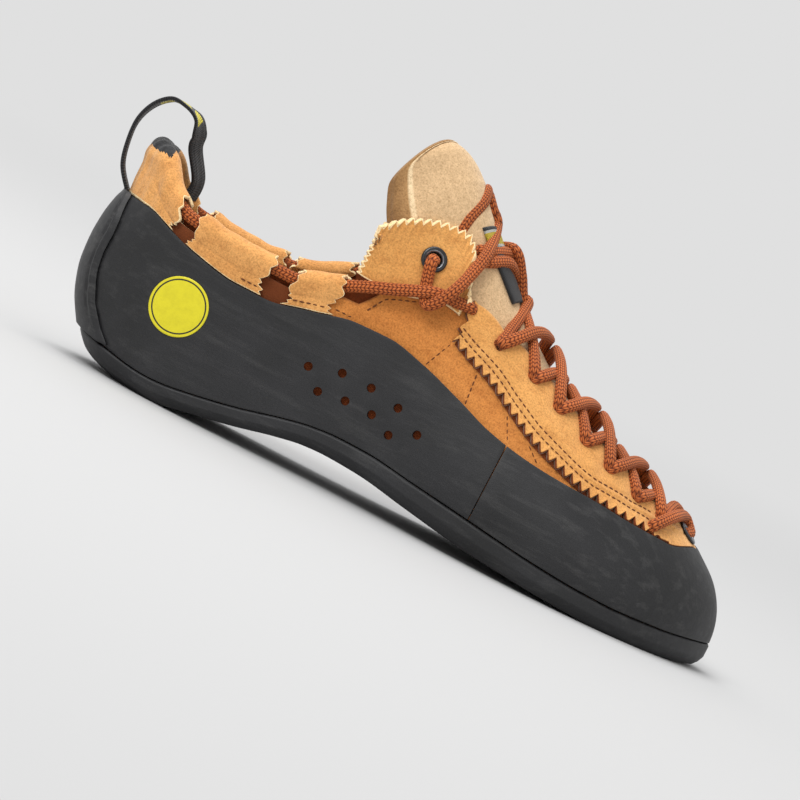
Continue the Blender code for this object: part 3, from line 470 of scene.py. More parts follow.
def sole_places(u, v):
    """u runs from heel to toe, v once round the section, from the middle of the top."""
    along = along_of(u)
    top, bottom = feather(along), sole_bottom(along)
    side = np.where(v < 0.5, LATERAL, MEDIAL)
    step = np.where(v < 0.5, v, 1.0 - v) * 2.0
    at_heel = np.clip((0.075 - along) / 0.04, 0.0, 1.0)
    face = SOLE_SIDE_FACE + (SOLE_HEEL_FACE - SOLE_SIDE_FACE) * at_heel
    tall = top - bottom
    down = np.interp(step, (0.0, 0.28, 0.34, 0.60, 0.72, 1.0), (0.0, 0.0, 0.10, 0.62, 1.0, 1.0))
    inset = np.interp(step, (0.28, 0.31, 0.34), (1.0, 0.35, 0.0)) * SOLE_ROUNDING
    inset += np.interp(step, (0.56, 0.60, 0.66, 0.72), (0.0, 0.10, 0.42, 1.0)) * SOLE_BEVEL
    point = off_skin(u, 0.0, side, face - inset, tall * down)
    point[..., 2] = top - tall * down
    centre = np.stack([point[..., 0], BALL_WIDTH * read(TURN_TABLE, "crown", u, "turn"),
                       point[..., 2]], axis=-1)
    reach = np.interp(step, (0.0, 0.28, 0.72, 1.0), (0.0, 1.0, 1.0, 0.0))[..., None]
    return centre * (1.0 - reach) + point * reach


outsole = laid_grid("outsole_rubber", 220, 100, sole_places, closed=True)
outsole.data.materials.append(sole_look)
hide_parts("outsole")
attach(outsole, "root")


# Upper: tan suede on a thin brown lining, cut as two quarters and a vamp, lasted over the form and
# open at the collar and throat. The rubber rands are glued over its lower half.
UPPER_WALL = 0.0020
LACE_DIAMETER = 0.0046
FOLD_ROOM = 0.0007
CUFF_CLOTH = 0.0012
CUFF_END = 0.330
LACE_HOLE_INSET = 0.0016
THROAT_RISE = 0.0012
UPPER_OVER_THROAT = 0.0004
EYESTAY_LOW = {
    "along":  (0.497, 0.53, 0.57, 0.61, 0.66, 0.71, 0.76, 0.82, 0.86),
    "height": (0.700, 0.660, 0.618, 0.560, 0.492, 0.446, 0.412, 0.390, 0.384),
}
# Colour of the painted shade along the quarter's top edge.
PAINTED_SHADE_BROWN = to_linear(92, 40, 20)
# Painted shade: how far below its top edge the quarter is painted darker, in the cuff gaps and under
# the lace bars, and how dark and how soft that painted band is.
PAINTED_SHADE_REACH = {"along": (0.0, 0.29, 0.32, 0.46, 0.49), "reach": (0.0100, 0.0100, 0.0012, 0.0010, 0.0)}
PAINTED_SHADE_STRENGTH = 0.92
PAINTED_SHADE_FADE = 0.0016
# Shares of the length at which the lace crosses the throat, from the ankle to the toe.
CROSSINGS = (0.505, 0.557, 0.618, 0.667, 0.720, 0.766, 0.817, 0.862)
THROAT_END_ALONG = 0.885
TOE_TIP_TURN = 20.0 / 24.0
LEATHER_TIP_TURN = 19.92 / 24.0
TOE_TIP_ALONG = float(along_of(TOE_TIP_TURN))
LEATHER_TIP_ALONG = float(along_of(LEATHER_TIP_TURN))
UPPER_HOLE_RADIUS = 0.0015
EYELET_CUT_RADIUS = 0.0031
SUEDE_LIGHT = to_linear(220, 163, 95)
SUEDE_MID = to_linear(201, 139, 73)
SUEDE_DARK = to_linear(164, 100, 45)
LINING_BROWN = to_linear(104, 48, 22)
# Pale cut edge: the cut suede's own paler tone, partly painted highlight where the thick edge catches
# light.
CUT_EDGE_AND_HIGHLIGHT = to_linear(242, 212, 160)
RAND_TOP = {
    "along":  (0.00, 0.04, 0.08, 0.13, 0.20, 0.24, 0.31, 0.37, 0.42, 0.48, 0.54, 0.60,
               0.68, 0.77, 0.85, 0.91, 0.930),
    "height": (0.635, 0.628, 0.597, 0.560, 0.530, 0.530, 0.568, 0.604, 0.607, 0.574, 0.523,
               0.467, 0.426, 0.406, 0.383, 0.372, 0.380),
}
COLLAR = {
    "along":   (0.00, 0.03, 0.06, 0.09, 0.13, 0.20, 0.26, 0.30, 0.335),
    "lateral": (0.880, 0.850, 0.765, 0.720, 0.705, 0.690, 0.690, 0.720, 0.752),
    "medial":  (0.880, 0.850, 0.765, 0.720, 0.705, 0.690, 0.705, 0.745, 0.790),
}
THROAT = {
    "along":  (0.335, 0.37, 0.42, 0.48, 0.54, 0.60, 0.655, 0.71, 0.765, 0.81, 0.850, 0.885),
    "height": (0.700, 0.745, 0.800, 0.850, 0.795, 0.735, 0.668, 0.600, 0.540, 0.495, 0.455, 0.445),
}
# Soft folds of the leather, each from (x, z) to (x, z) in millimetres of the part's frame, with
# its half width and its rise, less than nothing for a trough.
SOFT_FOLDS = (
    (58, 63, 76, 56, 2.6, -0.45), (64, 66, 84, 60, 2.2, 0.40), (72, 66, 90, 56, 2.4, -0.35),
    (92, 70, 104, 56, 3.0, -0.30), (108, 66, 116, 52, 3.2, 0.30), (124, 62, 132, 46, 3.4, -0.28),
    (142, 56, 150, 40, 3.6, 0.25), (156, 50, 166, 38, 3.4, -0.30), (176, 44, 184, 34, 3.4, 0.22),
    (30, 62, 36, 52, 2.5, 0.30), (-4, 72, 2, 58, 3.0, -0.35), (10, 68, 14, 58, 2.6, 0.30),
)


def round_tip(along, z, tip):
    """An edge line that leaves its height z and runs round the toe end of the throat."""
    share = np.clip((along - THROAT_END_ALONG) / (tip - THROAT_END_ALONG), 0.0, 1.0)
    up = rise(along, z)
    up = up + (1.0 - up) * (1.0 - np.sqrt(1.0 - share * share))
    low = feather(along)
    return low + (ridge(along) - low) * np.sin(up * math.pi / 2.0) ** 1.1


def rand_high(along):
    z = INSTEP_HEIGHT * read(RAND_TOP, "height", along)
    over_toe = np.where(along > TOE_TIP_ALONG - 1e-6, ridge(along),
                        round_tip(along, z, TOE_TIP_ALONG))
    return np.where(along <= THROAT_END_ALONG, z, over_toe)


def collar(along, side):
    return INSTEP_HEIGHT * np.where(np.asarray(side) < 0.0, read(COLLAR, "lateral", along),
                                    read(COLLAR, "medial", along))


def fold_radius():
    """From the lace's middle to the outside of the fold that it runs in."""
    return LACE_DIAMETER / 2.0 + FOLD_ROOM + CUFF_CLOTH


def fold_stretch(along, side):
    """How much taller than wide the fold's section is where the collar climbs."""
    turn = turn_of(along)
    before, after = np.maximum(turn - 0.02, 0.0), turn + 0.02
    run = skin(after, 0.2, side) - skin(before, 0.2, side)
    climb = collar(along_of(after), side) - collar(along_of(before), side)
    return np.sqrt(1.0 + (climb / np.hypot(run[..., 0], run[..., 1])) ** 2)


def throat(along):
    return INSTEP_HEIGHT * read(THROAT, "height", along) + THROAT_RISE


def opening(along, side):
    """Top edge of the upper: under the cuff's fold, then along the throat, then over the toes."""
    under_fold = (collar(along, side) - 2.0 * FOLD_ROOM
                  - (fold_radius() + LACE_DIAMETER / 2.0) * fold_stretch(along, side))
    blend = np.clip((along - CUFF_END - 0.03) / 0.03, 0.0, 1.0)
    edge = under_fold * (1.0 - blend) + (throat(along) + UPPER_OVER_THROAT) * blend
    return np.where(along >= THROAT_END_ALONG, ridge(along), edge)


def soft_folds(points):
    """Rise of the soft folds at points of the part's frame, in metres."""
    x, z = points[..., 0] * 1000.0, points[..., 2] * 1000.0
    total = np.zeros(x.shape)
    for x1, z1, x2, z2, width, depth in SOFT_FOLDS:
        along_x, along_z = x2 - x1, z2 - z1
        share = np.clip(((x - x1) * along_x + (z - z1) * along_z) / (along_x**2 + along_z**2), 0, 1)
        away = np.hypot(x - x1 - share * along_x, z - z1 - share * along_z)
        total += depth * np.exp(-(away / width) ** 2) / 1000.0
    for crossing in CROSSINGS:
        hole_x = (crossing * LAST_LENGTH - HEEL_REST_ALONG) * 1000.0
        hole_z = (throat(crossing) - LACE_HOLE_INSET) * 1000.0
        total -= 0.00055 * np.exp(-(((x - hole_x) / 3.0) ** 2 + ((z - hole_z) / 3.4) ** 2))
    return total


def on_wall(turn, z, side, distance):
    """Points of a suede layer at a height, this far off the last, with the soft folds in it."""
    up = np.minimum(rise(along_of(turn), z), 1.0)
    points = off_skin(turn, up, side, distance)
    fold = soft_folds(points)
    return off_skin(turn, up, side, distance + fold)


def suede_material(name, light=SUEDE_LIGHT, middle=SUEDE_MID, dark=SUEDE_DARK, grain_depth=0.00016,
                   shade=None):
    """Suede: even tan nap with faint clouds and a fine grain; shade names an attribute that paints shade
    into it.
    """
    look = new_material(name, 0.95, sheen=0.35, sheen_tint=(1.0, 0.86, 0.66), specular=0.12)
    cloud = noise(look, 34.0, 4.0, 0.6)
    brushed = noise(look, 330.0, 4.0, 0.6, stretch=(0.45, 1.0, 1.0), turn=(0.0, 0.6, 0.0))
    grain = noise(look, 1500.0, 3.0, 0.7)
    base = mix(look, "MIX", ramp(look, cloud, ((0.30, (0.2,) * 3), (0.72, (0.9,) * 3))), middle, light)
    strokes = ramp(look, brushed, ((0.32, (0.30, 0.30, 0.30)), (0.52, (0, 0, 0))))
    base = mix(look, "MIX", strokes, base, dark)
    specks = ramp(look, grain, ((0.30, (0.70, 0.64, 0.58)), (0.48, (0.99, 0.99, 0.99)),
                                (0.70, (1.26, 1.23, 1.18))))
    base = mix(look, "MULTIPLY", 1.0, base, specks)
    if shade:
        # Painted shade: the attribute mixes the colour towards a dark brown.
        depth = add_node(look, "ShaderNodeAttribute", attribute_name=shade)
        base = mix(look, "MIX", 0.0, base, PAINTED_SHADE_BROWN)
        link(look, depth, base.inputs[0], 2)
    colour_from(look, base)
    bump(look, (cloud, brushed, grain), (0.0008, 0.00022, grain_depth), 0.9)
    return look


suede = suede_material("suede")
# The quarter's suede carries the painted shade of the depth attribute along its top edge.
quarter_suede = suede_material("quarter_suede", to_linear(209, 138, 72), to_linear(190, 118, 56),
                               to_linear(152, 84, 34), shade="depth")
lining = suede_material("brown_lining", to_linear(132, 66, 32), LINING_BROWN, to_linear(66, 28, 14))
# Cut edges: the suede's paler cut, partly painted highlight of the thick edge catching light.
cut_edge_and_highlight = suede_material("cut_suede_edge_and_highlight", to_linear(250, 226, 180), CUT_EDGE_AND_HIGHLIGHT,
                          to_linear(206, 160, 100))

# The vent holes go through the rand alone: the upper behind them takes the brown lining look, partly
# the reddish cloth seen through them and partly painted shade inside the holes.
VENT_FIELD = {"x": (0.052, 0.108), "z": (0.000, 0.045)}
VENTS = {
    "along":  (0.338, 0.384, 0.429, 0.474, 0.514, 0.479, 0.365, 0.405, 0.446),
    "height": (0.383, 0.417, 0.417, 0.397, 0.342, 0.294, 0.317, 0.332, 0.332),
}


def punch_holes(obj, holes, radius, distance):
    """Opens round holes in a laid sheet: faces inside go, and the rim is drawn onto the circle."""
    mesh = obj.data
    centres = []
    for turn, up, side in holes:
        points = off_skin(turn, up, side, distance)
        centres.append(off_skin(turn, up, side, distance + float(soft_folds(points))))
    bpy.context.view_layer.objects.active = obj
    work = bmesh.new()
    work.from_mesh(mesh)
    for centre in centres:
        middle = Vector(centre)
        inside = [f for f in work.faces if (f.calc_center_median() - middle).length < radius]
        bmesh.ops.delete(work, geom=inside, context="FACES")
        for vert in work.verts:
            if vert.is_boundary and (vert.co - middle).length < radius * 1.7:
                vert.co = middle + (vert.co - middle).normalized() * radius
    work.to_mesh(mesh)
    work.free()


def lace_hole(along, side):
    return float(turn_of(along)), float(rise(along, throat(along) - LACE_HOLE_INSET)), side


def upper_places(u, v):
    side = np.where(u < 0.5, LATERAL, MEDIAL)
    turn = np.abs(2.0 * u - 1.0)
    along = along_of(turn)
    low = rise(along, feather(along) + GAP)
    up = low + (rise(along, opening(along, side)) - low) * v
    points = off_skin(turn, up, side, 0.0)
    points = off_skin(turn, up, side, soft_folds(points) * np.clip(up * 4.0 - 1.0, 0.0, 1.0))
    points[..., 2] = np.maximum(points[..., 2], feather(along) + GAP)
    return points


upper = laid_grid("suede_upper", 400, 40, upper_places)
# The depth attribute is painted shade: a dark band below the quarter's top edge, in the cuff gaps and under
# the lace.
depth = upper.data.attributes.new("depth", "FLOAT", "POINT")
for number, vert in enumerate(upper.data.vertices):
    along = min(max((vert.co.x + HEEL_REST_ALONG) / LAST_LENGTH, 0.0), 1.0)
    side = LATERAL if vert.co.y < 0.0 else MEDIAL
    down = float(opening(along, side)) - vert.co.z
    reach = np.interp(along, PAINTED_SHADE_REACH["along"], PAINTED_SHADE_REACH["reach"])
    depth.data[number].value = PAINTED_SHADE_STRENGTH * min(max((reach - down) / PAINTED_SHADE_FADE, 0.0), 1.0)
for look in (quarter_suede, lining, cut_edge_and_highlight):
    upper.data.materials.append(look)
# Faces behind the vents: brown lining, partly the cloth seen there and partly painted shade in the holes.
for polygon in upper.data.polygons:
    centre = polygon.center
    in_field = (VENT_FIELD["x"][0] < centre.x < VENT_FIELD["x"][1]
                and VENT_FIELD["z"][0] < centre.z < VENT_FIELD["z"][1])
    if centre.y < 0.0 and in_field:
        polygon.material_index = 1
TOE_EYELET = (float(turn_of(0.906)), 0.905, LATERAL)
punched = [lace_hole(crossing, side) for crossing in CROSSINGS[1:] for side in (LATERAL, MEDIAL)]
punch_holes(upper, punched, UPPER_HOLE_RADIUS, 0.0)
punch_holes(upper, [TOE_EYELET], EYELET_CUT_RADIUS, 0.0)
make_solid(upper, UPPER_WALL, rim=2, inside=1)
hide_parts("upper")
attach(upper, "root")


# Rands: bands of thin black rubber, stretched round the upper and glued, a toe rand and a side
# rand that meet in one upright seam on each side. Nine round vent holes go through the outer arch.
RAND_WALL = 0.0020
SEAM_ALONG = 0.628
VENT_DIAMETER = 0.0032
VENT_SIDES = 28


def rand_places(turn, v, side):
    """A rand's outer face between the feather line and its top edge, v from 0 to 1."""
    along = along_of(turn)
    low = rise(along, feather(along) + GAP)
    up = low + (rise(along, rand_high(along)) - low) * v
    points = off_skin(turn, up, side, GAP + RAND_WALL)
    x, z = points[..., 0], points[..., 2]
    swell = np.zeros(x.shape)
    for vent_along, share in zip(VENTS["along"], VENTS["height"]):
        away = np.hypot(x - (vent_along * LAST_LENGTH - HEEL_REST_ALONG),
                        z - share * INSTEP_HEIGHT)
        swell -= 0.00030 * np.exp(-(away / 0.0030) ** 2) * (np.asarray(side) < 0.0)
    ripple = np.sin(x * 190.0 + z * 60.0) * np.sin(x * 61.0 - z * 85.0)
    swell += 0.00012 * ripple * np.clip(v * 2.0, 0.0, 1.0)
    points = off_skin(turn, up, side, GAP + RAND_WALL + swell)
    points[..., 2] = np.maximum(points[..., 2], feather(along) + GAP)
    return points


def side_rand_places(u, v):
    half = turn_of(SEAM_ALONG - GAP / LAST_LENGTH / 2.0)
    return rand_places(np.abs(2.0 * u - 1.0) * half, v, np.where(u < 0.5, LATERAL, MEDIAL))


def toe_rand_places(u, v):
    half = 1.0 - turn_of(SEAM_ALONG + GAP / LAST_LENGTH / 2.0)
    return rand_places(1.0 - np.abs(2.0 * u - 1.0) * half, v, np.where(u < 0.5, LATERAL, MEDIAL))


def round_edges(obj, width, segments=2, degrees=50.0):
    apply_modifier(obj, "BEVEL", "round_edges", width=width, segments=segments,
                   limit_method="ANGLE", angle_limit=math.radians(degrees))


rand_look = rubber_material("rand_rubber", 0.20)
toe_look = rubber_material("toe_rubber", 0.34, (0.0, -0.5, 0.3))
side_rand = laid_grid("side_rand_rubber", 300, 40, side_rand_places)
toe_rand = laid_grid("toe_rand_rubber", 220, 36, toe_rand_places)
side_rand.data.materials.append(rand_look)
toe_rand.data.materials.append(toe_look)
for rand in (side_rand, toe_rand):
    make_solid(rand, RAND_WALL)
    round_edges(rand, 0.0005)

deselect_all()
vent_cutters = []
for vent_along, share in zip(VENTS["along"], VENTS["height"]):
    turn = turn_of(vent_along)
    up = rise(vent_along, share * INSTEP_HEIGHT)
    inner, outer = off_skin(turn, up, LATERAL, 0.0), off_skin(turn, up, LATERAL, 0.005)
    axis = Vector(outer - inner).normalized()
    bpy.ops.mesh.primitive_cylinder_add(vertices=VENT_SIDES, radius=VENT_DIAMETER / 2.0, depth=0.010,
                                        location=inner, rotation=axis.to_track_quat("Z", "Y").to_euler())
    vent_cutters.append(bpy.context.object)
deselect_all()
for cutter in vent_cutters:
    cutter.select_set(True)
bpy.context.view_layer.objects.active = vent_cutters[0]
bpy.ops.object.join()
vent_cutter = bpy.context.object
apply_modifier(side_rand, "BOOLEAN", "vents", operation="DIFFERENCE", object=vent_cutter)
bpy.data.objects.remove(vent_cutter, do_unlink=True)
for rand, node in ((side_rand, "side_rand"), (toe_rand, "toe_rand")):
    deselect_all()
    rand.select_set(True)
    bpy.context.view_layer.objects.active = rand
    bpy.ops.object.shade_smooth_by_angle(angle=math.radians(50.0))
    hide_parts(node)
    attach(rand, "root")


# Heel patch: a thinner rubber strip up the back of the heel over the rand, with a ground front
# edge that stands a little proud as a grooved ridge and is scuffed paler.
PATCH_WALL = 0.0015
PATCH_SHEET = 0.0009
PATCH_FRONT = {
    "height": (0.0100, 0.0152, 0.0223, 0.0311, 0.0382, 0.0453, 0.0506, 0.0559, 0.0605),
    "reach":  (0.0240, 0.0180, 0.0136, 0.0110, 0.0101, 0.0104, 0.0092, 0.0065, 0.0042),
}


def heel_patch_places(u, v):
    """u goes round the heel from the outer to the inner edge, v from the sole to the top."""
    side = np.where(u < 0.5, LATERAL, MEDIAL)
    low = feather(0.0) + GAP
    z = low + (INSTEP_HEIGHT * RAND_TOP["height"][0] + GAP - low) * v
    share = np.abs(2.0 * u - 1.0)
    reach = np.interp(z, PATCH_FRONT["height"], PATCH_FRONT["reach"])
    turn_limit = turn_of(np.clip(reach * 0.58 / LAST_LENGTH, 0.0, 1.0))
    turn = share * turn_limit
    edge = np.clip((share - 0.72) / 0.28, 0.0, 1.0)
    ridge_line = np.exp(-((share - 0.90) / 0.035) ** 2) - 0.9 * np.exp(-((share - 0.80) / 0.03) ** 2)
    fade = np.clip((z - 0.014) / 0.010, 0.0, 1.0)
    proud = PATCH_WALL * (1.0 - 0.75 * edge ** 3) + 0.00055 * ridge_line * fade
    distance = RAND_WALL + 2.0 * GAP + proud
    points = off_skin(turn, rise(along_of(turn), z), side, distance)
    points[..., 2] = np.maximum(points[..., 2], feather(along_of(turn)) + GAP)
    return points


patch_look = rubber_material("heel_patch_rubber", 0.55, (0.0, 1.2, 0.0))
heel_patch = laid_grid("heel_patch_rubber", 90, 64, heel_patch_places)
heel_patch.data.materials.append(patch_look)
make_solid(heel_patch, PATCH_SHEET)
round_edges(heel_patch, 0.0002, 1)
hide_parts("heel_patch")
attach(heel_patch, "root")


# Heel disc: a plain round yellow print on the outer side of the rand, with a thin dark ring
# round its middle. It is a heat-pressed film a quarter of a millimetre thick.
DISC_CENTRE = (0.0064, 0.0343)
DISC_RADIUS = 0.0106
DISC_FILM = 0.00025
DISC_CLEARANCE = 0.00012


def disc_places(u, v):
    """A square grid rounded to a disc and laid on the rand."""
    a, b = 2.0 * u - 1.0, 2.0 * v - 1.0
    x = a * np.sqrt(1.0 - b * b / 2.0) * DISC_RADIUS + DISC_CENTRE[0]
    z = b * np.sqrt(1.0 - a * a / 2.0) * DISC_RADIUS + DISC_CENTRE[1]
    turn = turn_of(np.clip((x + HEEL_REST_ALONG) / LAST_LENGTH, 0.0, 1.0))
    for _ in range(6):
        points = off_skin(turn, rise(along_of(turn), z), LATERAL, GAP + RAND_WALL + DISC_FILM)
        turn = turn_of(np.clip(along_of(turn) + (x - points[..., 0]) / LAST_LENGTH, 0.0, 1.0))
    return off_skin(turn, rise(along_of(turn), z), LATERAL, GAP + RAND_WALL + DISC_FILM + DISC_CLEARANCE)


disc_look = new_material("yellow_print", 0.42, specular=0.4)
place = add_node(disc_look, "ShaderNodeTexCoord")
centred = add_node(disc_look, "ShaderNodeMapping")
centred.inputs["Location"].default_value = (-DISC_CENTRE[0], 0.0, -DISC_CENTRE[1])
centred.inputs["Scale"].default_value = (1.0, 0.0, 1.0)
link(disc_look, place, centred.inputs["Vector"], output=3)
away = add_node(disc_look, "ShaderNodeVectorMath", operation="LENGTH")
link(disc_look, centred, away.inputs[0])
shares = add_node(disc_look, "ShaderNodeMath", operation="DIVIDE")
shares.inputs[1].default_value = DISC_RADIUS
link(disc_look, away, shares.inputs[0], output=1)
YELLOW = to_linear(220, 208, 34)
INK = to_linear(34, 36, 30)
rings = ramp(disc_look, shares, ((0.0, YELLOW), (0.865, YELLOW), (0.875, INK), (0.915, INK),
                                 (0.925, YELLOW), (1.0, YELLOW)))
wear = ramp(disc_look, noise(disc_look, 420.0, 4.0), ((0.25, (0.86, 0.86, 0.84)), (0.60, (1, 1, 1))))
colour_from(disc_look, mix(disc_look, "MULTIPLY", 0.8, rings, wear))
bump(disc_look, (noise(disc_look, 900.0, 3.0),), (0.00005,))
heel_disc = laid_grid("heel_disc", 40, 40, disc_places)
heel_disc.data.materials.append(disc_look)
make_solid(heel_disc, DISC_FILM)
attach(heel_disc, "root")


# Eyestay: one U-shaped suede overlay round the throat, laid on the vamp and sewn with two rows of
# thread above its pinked lower edge. A thin brown sheet under its teeth is painted shade for the
# notches of that edge, and the lace runs through holes punched near the throat edge.
EYESTAY_WALL = 0.0015
TOOTH_PITCH = 0.0041
TOOTH_DEPTH = 0.0027
TOOTH_SLANT = 1.10
TEETH_END = 0.872
TEETH_FADE = 0.012
EYESTAY_HOLE_RADIUS = 0.0019
# Reach of the brown sheet that paints the shade in the eyestay's notches.
NOTCH_SHADE_START = 0.503
NOTCH_SHADE_END = 0.90
NOTCH_SHADE_HEIGHT = 0.0055
NOTCH_SHADE_WALL = 0.00018
SEAM_ROWS = (0.0040, 0.0062)
SCALLOP = 0.0012
# Thread colour, darker than the suede: partly the thread's own brown, partly painted shade of the sunk
# stitches.
THREAD_BROWN_AND_SHADE = to_linear(112, 62, 24)
EYESTAY_START = 0.497


def tooth(length, pitch=TOOTH_PITCH):
    """A pinked edge's depth, from 0 at the points to 1 in the notches, along its length."""
    return 1.0 - np.abs(2.0 * ((length / pitch) % 1.0) - 1.0)


def eyestay_line(along):
    """Lower edge through the points of its teeth, before it goes under the toe rand's top."""
    line = INSTEP_HEIGHT * read(EYESTAY_LOW, "height", along)
    over_toe = round_tip(along, INSTEP_HEIGHT * read(RAND_TOP, "height", along) + GAP,
                         LEATHER_TIP_ALONG)
    over_toe = np.where(along > LEATHER_TIP_ALONG - 1e-6, ridge(along), over_toe)
    return np.where(along > THROAT_END_ALONG, over_toe, np.maximum(line, rand_high(along) + GAP))


def eyestay_low(along):
    line = INSTEP_HEIGHT * read(EYESTAY_LOW, "height", along)
    notch = (TOOTH_DEPTH * tooth(along * LAST_LENGTH * TOOTH_SLANT)
             * np.clip((TEETH_END - along) / TEETH_FADE, 0.0, 1.0))
    return np.maximum(eyestay_line(along), np.minimum(line + notch, eyestay_line(along) + notch))


def eyestay_high(along):
    between = np.interp(along, CROSSINGS, np.arange(len(CROSSINGS)))
    edge = throat(along) + SCALLOP * np.abs(np.sin(math.pi * between)) + 0.0010
    return np.where(along >= THROAT_END_ALONG, ridge(along), edge)


def eyestay_places(u, v):
    side = np.where(u < 0.5, LATERAL, MEDIAL)
    start, end = turn_of(EYESTAY_START), turn_of(LEATHER_TIP_ALONG)
    turn = end + (start - end) * np.abs(2.0 * u - 1.0)
    along = along_of(turn)
    ragged = TOOTH_DEPTH * 0.7 * tooth(v * 0.012) / LAST_LENGTH
    turn = np.maximum(turn, turn_of(EYESTAY_START + ragged))
    along = along_of(turn)
    low, high = eyestay_low(along), eyestay_high(along)
    z = low + (high - low) * v
    seam = np.zeros(z.shape)
    for row in SEAM_ROWS:
        seam -= 0.00028 * np.exp(-((z - eyestay_line(along) - row) / 0.0005) ** 2)
    seam += 0.00022 * np.exp(-((z - eyestay_line(along) - np.mean(SEAM_ROWS)) / 0.0004) ** 2)
    lift = 0.00035 * np.clip(1.0 - (z - low) / 0.0020, 0.0, 1.0)
    return on_wall(turn, z, side, GAP + EYESTAY_WALL + (seam + lift) * (z < high - 0.001))


def pale_border(obj, index, reach=1):
    """Gives the faces along a sheet's open edges a pale look, reach faces deep: cut suede's own paler tone
    with a painted highlight where the thick edge catches light.
    """
    mesh = obj.data
    counts = np.zeros(len(mesh.edges), int)
    loop_edges = np.empty(len(mesh.loops), int)
    mesh.loops.foreach_get("edge_index", loop_edges)
    np.add.at(counts, loop_edges, 1)
    ends = np.empty(len(mesh.edges) * 2, int)
    mesh.edges.foreach_get("vertices", ends)
    border = set(ends.reshape(-1, 2)[counts == 1].ravel().tolist())
    for _ in range(reach):
        touched = [face for face in mesh.polygons if any(corner in border for corner in face.vertices)]
        for face in touched:
            face.material_index = index
            border.update(face.vertices)


def notch_shade_places(u, v, side):
    """A thin brown sheet under the teeth of one side, from the ankle to the toe, as painted shade in the
    notches.
    """
    start, end = turn_of(NOTCH_SHADE_START), turn_of(NOTCH_SHADE_END)
    turn = start + (end - start) * u
    z = eyestay_line(along_of(turn)) + 0.0003 + NOTCH_SHADE_HEIGHT * v
    return on_wall(turn, np.minimum(z, ridge(along_of(turn)) - 0.0005), side, GAP - 0.00003)


# The brown sheets that paint the shade in the eyestay's notches, one on each side.
for side, label in ((LATERAL, "lateral"), (MEDIAL, "medial")):
    notch_shade_sheet = laid_grid(f"eyestay_notch_shade_{label}", 300, 8, lambda u, v: notch_shade_places(u, v, side))
    notch_shade_sheet.data.materials.append(lining)
    make_solid(notch_shade_sheet, NOTCH_SHADE_WALL)
    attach(notch_shade_sheet, "root")

eyestay = laid_grid("suede_eyestay", 720, 24, eyestay_places)
for look in (suede, lining):
    eyestay.data.materials.append(look)
punch_holes(eyestay, punched, EYESTAY_HOLE_RADIUS, GAP + EYESTAY_WALL)
punch_holes(eyestay, [TOE_EYELET], EYELET_CUT_RADIUS, GAP + EYESTAY_WALL)
make_solid(eyestay, EYESTAY_WALL, rim=1, inside=1)
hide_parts("eyestay")
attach(eyestay, "root")


# Seams: brown polyester thread in lockstitch, each visible stitch a short capsule half sunk in the
# leather. Two rows follow the eyestay, others the quarter's top, its cross seams and the cuffs.
STITCH_PITCH = 0.0024
STITCH_LENGTH = 0.0018
STITCH_RADIUS = 0.00030


def unfolded_wall(turn, z, side, distance):
    """Points of a layer at a height, without the soft folds."""
    return off_skin(turn, rise(along_of(turn), z), side, distance)


def stitch_run(alongs, heights, side, distance, place=on_wall):
    """A smooth seam line through places on the wall: its points and its outward directions."""
    count = 40 * len(alongs)
    share = np.linspace(0.0, 1.0, count)
    stops = np.linspace(0.0, 1.0, len(alongs))
    along = np.interp(share, stops, alongs)
    z = np.interp(share, stops, heights)
    points = place(turn_of(along), z, side, distance)
    outer = place(turn_of(along), z, side, distance + 0.001)
    return points, unit(outer - points)


def sew(name, runs, look):
    """One mesh of all the stitches along the runs."""
    deselect_all()
    bpy.ops.mesh.primitive_uv_sphere_add(segments=8, ring_count=6, radius=1.0)
    pattern = bpy.context.object
    shape = np.array([tuple(v.co) for v in pattern.data.vertices])
    faces = [tuple(p.vertices) for p in pattern.data.polygons]
    bpy.data.objects.remove(pattern, do_unlink=True)
    verts, polygons = [], []
    for points, outward in runs:
        lengths = np.concatenate([[0.0], np.cumsum(np.linalg.norm(np.diff(points, axis=0), axis=1))])
        middles = np.arange(STITCH_PITCH / 2.0, lengths[-1], STITCH_PITCH)
        for middle in middles:
            ends = [np.array([np.interp(s, lengths, points[:, k]) for k in range(3)])
                    for s in (middle - STITCH_LENGTH / 2.0, middle, middle + STITCH_LENGTH / 2.0)]
            out = unit(np.array([np.interp(middle, lengths, outward[:, k]) for k in range(3)]))
            ahead = unit(ends[2] - ends[0])
            across = np.cross(out, ahead)
            stitch = (ends[1] + shape[:, 2:3] * ahead * STITCH_LENGTH / 2.0
                      + shape[:, 0:1] * across * STITCH_RADIUS + shape[:, 1:2] * out * STITCH_RADIUS)
            offset = len(verts)
            verts.extend(map(tuple, stitch))
            polygons.extend(tuple(i + offset for i in face) for face in faces)
    mesh = bpy.data.meshes.new(name)
    mesh.from_pydata(verts, [], polygons)
    mesh.shade_smooth()
    mesh.materials.append(look)
    obj = bpy.data.objects.new(name, mesh)
    bpy.context.scene.collection.objects.link(obj)
    bpy.context.view_layer.objects.active = obj
    face_out(obj, closed=True)
    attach(obj, "root")


# The thread's darkness is partly painted shade round the sunk stitches.
thread = new_material("brown_thread", 0.7, sheen=0.1, specular=0.3)
thread_shade = ramp(thread, noise(thread, 900.0, 3.0), ((0.3, to_linear(84, 44, 16)),
                                                        (0.7, THREAD_BROWN_AND_SHADE)))
colour_from(thread, thread_shade)
bump(thread, (noise(thread, 4000.0, 2.0),), (0.00006,))

seam_alongs = np.linspace(EYESTAY_START + 0.004, 0.845, 40)
eyestay_runs = []
for side in (LATERAL, MEDIAL):
    for row in SEAM_ROWS:
        eyestay_runs.append(stitch_run(seam_alongs, eyestay_line(seam_alongs) + row, side,
                                       GAP + EYESTAY_WALL - 0.00016))
sew("eyestay_stitches", eyestay_runs, thread)

